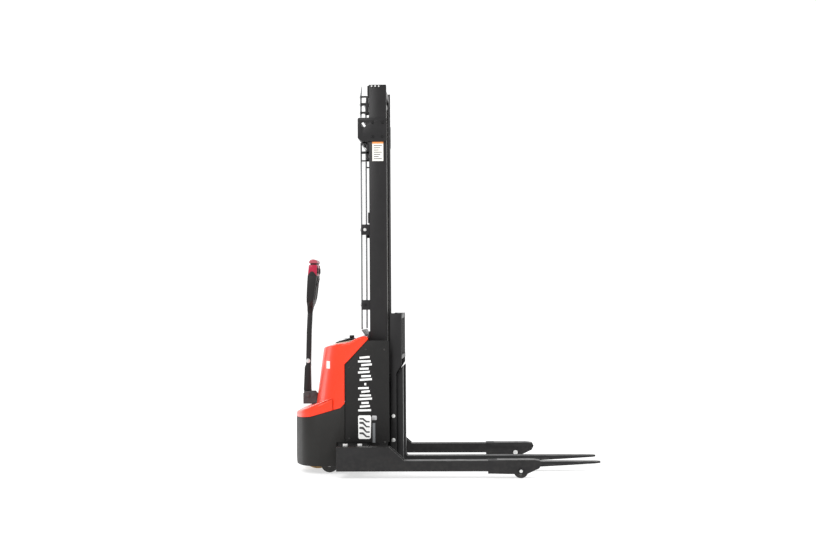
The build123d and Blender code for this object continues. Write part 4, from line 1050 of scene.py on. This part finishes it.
# ======================================================================
# Tiller: clamp screws, head, buttons, bellows
# ======================================================================
def finish_tiller():
    screws = []
    for side, turn in ((-1, "-Y"), (1, "Y")):
        spot, _ = surface("tiller_arm", (-0.809, side * 0.3, 0.627), (0, -side, 0))
        wall = spot.y if spot else side * 0.017
        screws.append(hexagon((-0.809, wall, 0.627), 0.0172, 0.0085, turn))
        screws.append(lathe([(0, 0.0006), (0.0128, 0.0006), (0.0128, 0)], (-0.809, wall, 0.627), turn, 32))
    piece("sleeve_screws", join("screws", screws), CHROME, "tiller")
    seam = []
    for z in (0.606, 0.470):
        seam.append(weld((-0.8205, -0.0175, z), (-0.7955, -0.0175, z), 0.003))
        seam.append(weld((-0.8205, 0.0175, z), (-0.7955, 0.0175, z), 0.003))
    piece("sleeve_welds", join("welds", seam), BLACK, "tiller")
    arches = []
    for side in (-1, 1):
        inner, outer = sorted((side * 0.0995, side * 0.1055))
        outline = [(-0.8005, 1.1200)]
        for k in range(13):
            t = k / 12
            outline.append((-0.8005 + 0.049 * t, 1.1242 + 0.024 * sin(pi * t)))
        outline.append((-0.7515, 1.1200))
        arches.append(prism(outline, inner, outer, "Y", 0.0012, 2))
    piece("head_arches", join("arches", arches), HEAD, "tiller")
    grips = []
    for side in (-1, 1):
        inner, outer = sorted((side * 0.0865, side * 0.1092))
        for k in range(9):
            z = 0.9955 + k * 0.0117
            x = -0.8095 + (z - 0.95) * 0.048
            grips.append(slab((x - 0.0012, inner, z), (x + 0.004, outer, z + 0.0062), 0.0011, 2))
    piece("grip_ribs", join("grips", grips), GRIP, "tiller")
    bezels = []
    for node in ("lift_button", "lower_button", "horn_button"):
        lo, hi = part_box(node)
        y, z, r = (lo.y + hi.y) / 2, (lo.z + hi.z) / 2, (hi.z - lo.z) / 2
        front, _ = surface("tiller_head", (-0.5, y, z + r + 0.0022), (-1, 0, 0))
        wall = front.x if front else hi.x - 0.003
        bezels.append(lathe(
            [(r + 0.0006, -0.002), (r + 0.0034, -0.002), (r + 0.0034, 0.0006), (r + 0.0024, 0.0014),
             (r + 0.0008, 0.0014), (r + 0.0006, 0.0008)], (wall, y, z), "X", 40,
        ))
        dish = lathe(
            [(0, 0.0002), (r * 0.55, 0.0004), (r * 0.72, 0.0011), (r * 0.86, 0.0008), (r * 0.9, -0.0006)],
            (hi.x, y, z), "X", 40,
        )
        piece(f"{node}_dish", dish, GREY, node)
    piece("button_bezels", join("bezels", bezels), GRIP, "tiller")
    folds = []
    for k in range(4):
        z = 1.1862 + k * 0.0027
        grow = 0.0016 if k % 2 else 0.0004
        folds.append(prism(
            [(-0.7865 - grow, -0.0825 - grow), (-0.7535 + grow, -0.0825 - grow), (-0.7535 + grow, 0.0825 + grow),
             (-0.7865 - grow, 0.0825 + grow)], z, z + 0.0027, "Z", 0.0008, 2,
        ))
    piece("button_bellows", join("folds", folds), GRIP, "tiller")
    ribs = []
    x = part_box("throttle")[1].x
    for side in (-1, 1):
        for k in range(6):
            y = side * (0.045 + k * 0.0066)
            ribs.append(slab((x - 0.006, y - 0.0012, 1.1400), (x + 0.0004, y + 0.0012, 1.1640), 0.0008, 2))
    piece("throttle_ribs", join("ribs", ribs), GRIP, "throttle")


# ======================================================================
# Carriage, forks, legs and wheels
# ======================================================================
def weld_carriage():
    beads = []
    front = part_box("load_backrest")[1].x
    x = front - 0.006
    for y in (-0.172, -0.086, 0.0, 0.086, 0.172):
        for z in (0.6645, 0.8735):
            beads.append(weld((front - 0.0005, y - 0.007, z), (front - 0.0005, y + 0.007, z), 0.004))
            beads.append(weld((x - 0.006, y - 0.0064, z), (x + 0.006, y - 0.0064, z), 0.0035))
            beads.append(weld((x - 0.006, y + 0.0064, z), (x + 0.006, y + 0.0064, z), 0.0035))
    for side in (-1, 1):
        y = side * 0.2582
        for z0, z1 in ((0.640, 0.664), (0.874, 0.904)):
            beads.append(weld((front - 0.0005, y, z0), (front - 0.0005, y, z1), 0.0045))
    piece("backrest_welds", join("welds", beads), BLACK, "carriage")
    beads = []
    for side in (-1, 1):
        for z0, z1 in ((0.112, 0.176), (0.470, 0.544)):
            beads.append(weld((-0.3165, side * 0.2505, z0), (-0.3165, side * 0.2505, z1), 0.005))
    piece("carriage_welds", join("welds", beads), BLACK, "carriage")


def weld_legs():
    beads = []
    for side in (-1, 1):
        inner, outer = side * 0.5105, side * 0.6095
        beads.append(weld((-0.3085, inner, 0.0975), (-0.3085, outer, 0.0975), 0.006))
        for y in (side * 0.5096, side * 0.6102):
            beads.append(weld((-0.596, y, 0.0425), (-0.330, y, 0.0425), 0.0045))
    piece("leg_welds", join("welds", beads), BLACK, "chassis")
    rims = []
    for side, turn in ((-1, "-Y"), (1, "Y")):
        rims.append(lathe(
            [(0.0092, 0.0), (0.0092, 0.0012), (0.0136, 0.0012), (0.0148, 0.0002), (0.0148, -0.0038),
             (0.0144, -0.0038)], (0.412, side * 0.6150, 0.040), turn, 40,
        ))
    piece("axle_rims", join("rims", rims), BLACK, "chassis")


def bearing(name, node, radius, body):
    """A sealed ball bearing's rings and shield on both faces of a wheel."""
    lo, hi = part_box(node)
    x, z = (lo.x + hi.x) / 2, (lo.z + hi.z) / 2
    meshes = []
    for wall, turn in ((lo.y, "-Y"), (hi.y, "Y")):
        meshes.append(lathe(
            [(radius * 0.52, 0.0004), (radius * 0.62, 0.0012), (radius * 0.7, 0.0004), (radius * 0.9, 0.0004),
             (radius * 0.94, 0.0014), (radius, 0.0014), (radius, -0.002)], (x, wall, z), turn, 48,
        ))
    piece(name, join("bearing", meshes), STEEL, body)


def fit_wheels():
    """Ball bearings in the load and caster wheels, and five nuts on the drive hub."""
    for kind, radius in (("load", 0.021), ("caster", 0.018)):
        for side in ("left", "right"):
            bearing(f"{side}_{kind}_bearing", f"{side}_{kind}_wheel", radius, f"{side}_{kind}_wheel")
    lo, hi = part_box("drive_tyre")
    x, z = (lo.x + hi.x) / 2, (lo.z + hi.z) / 2
    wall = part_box("drive_hub")[0].y
    nut_circle = 0.038
    nuts = []
    for k in range(5):
        angle = 2 * pi * k / 5
        centre = (x + nut_circle * cos(angle), wall, z + nut_circle * sin(angle))
        nuts.append(hexagon(centre, 0.017, 0.009, "-Y"))
    piece("drive_wheel_nuts", join("nuts", nuts), ZINC, "drive_wheel")


label_mast()
edge_guard()
bolt_brackets()
weld_mast()
hang_chains()
dress_side_cover()
label_hood()
paint_panel_rim_highlight()
fill_panel()
finish_tiller()
weld_carriage()
weld_legs()
fit_wheels()
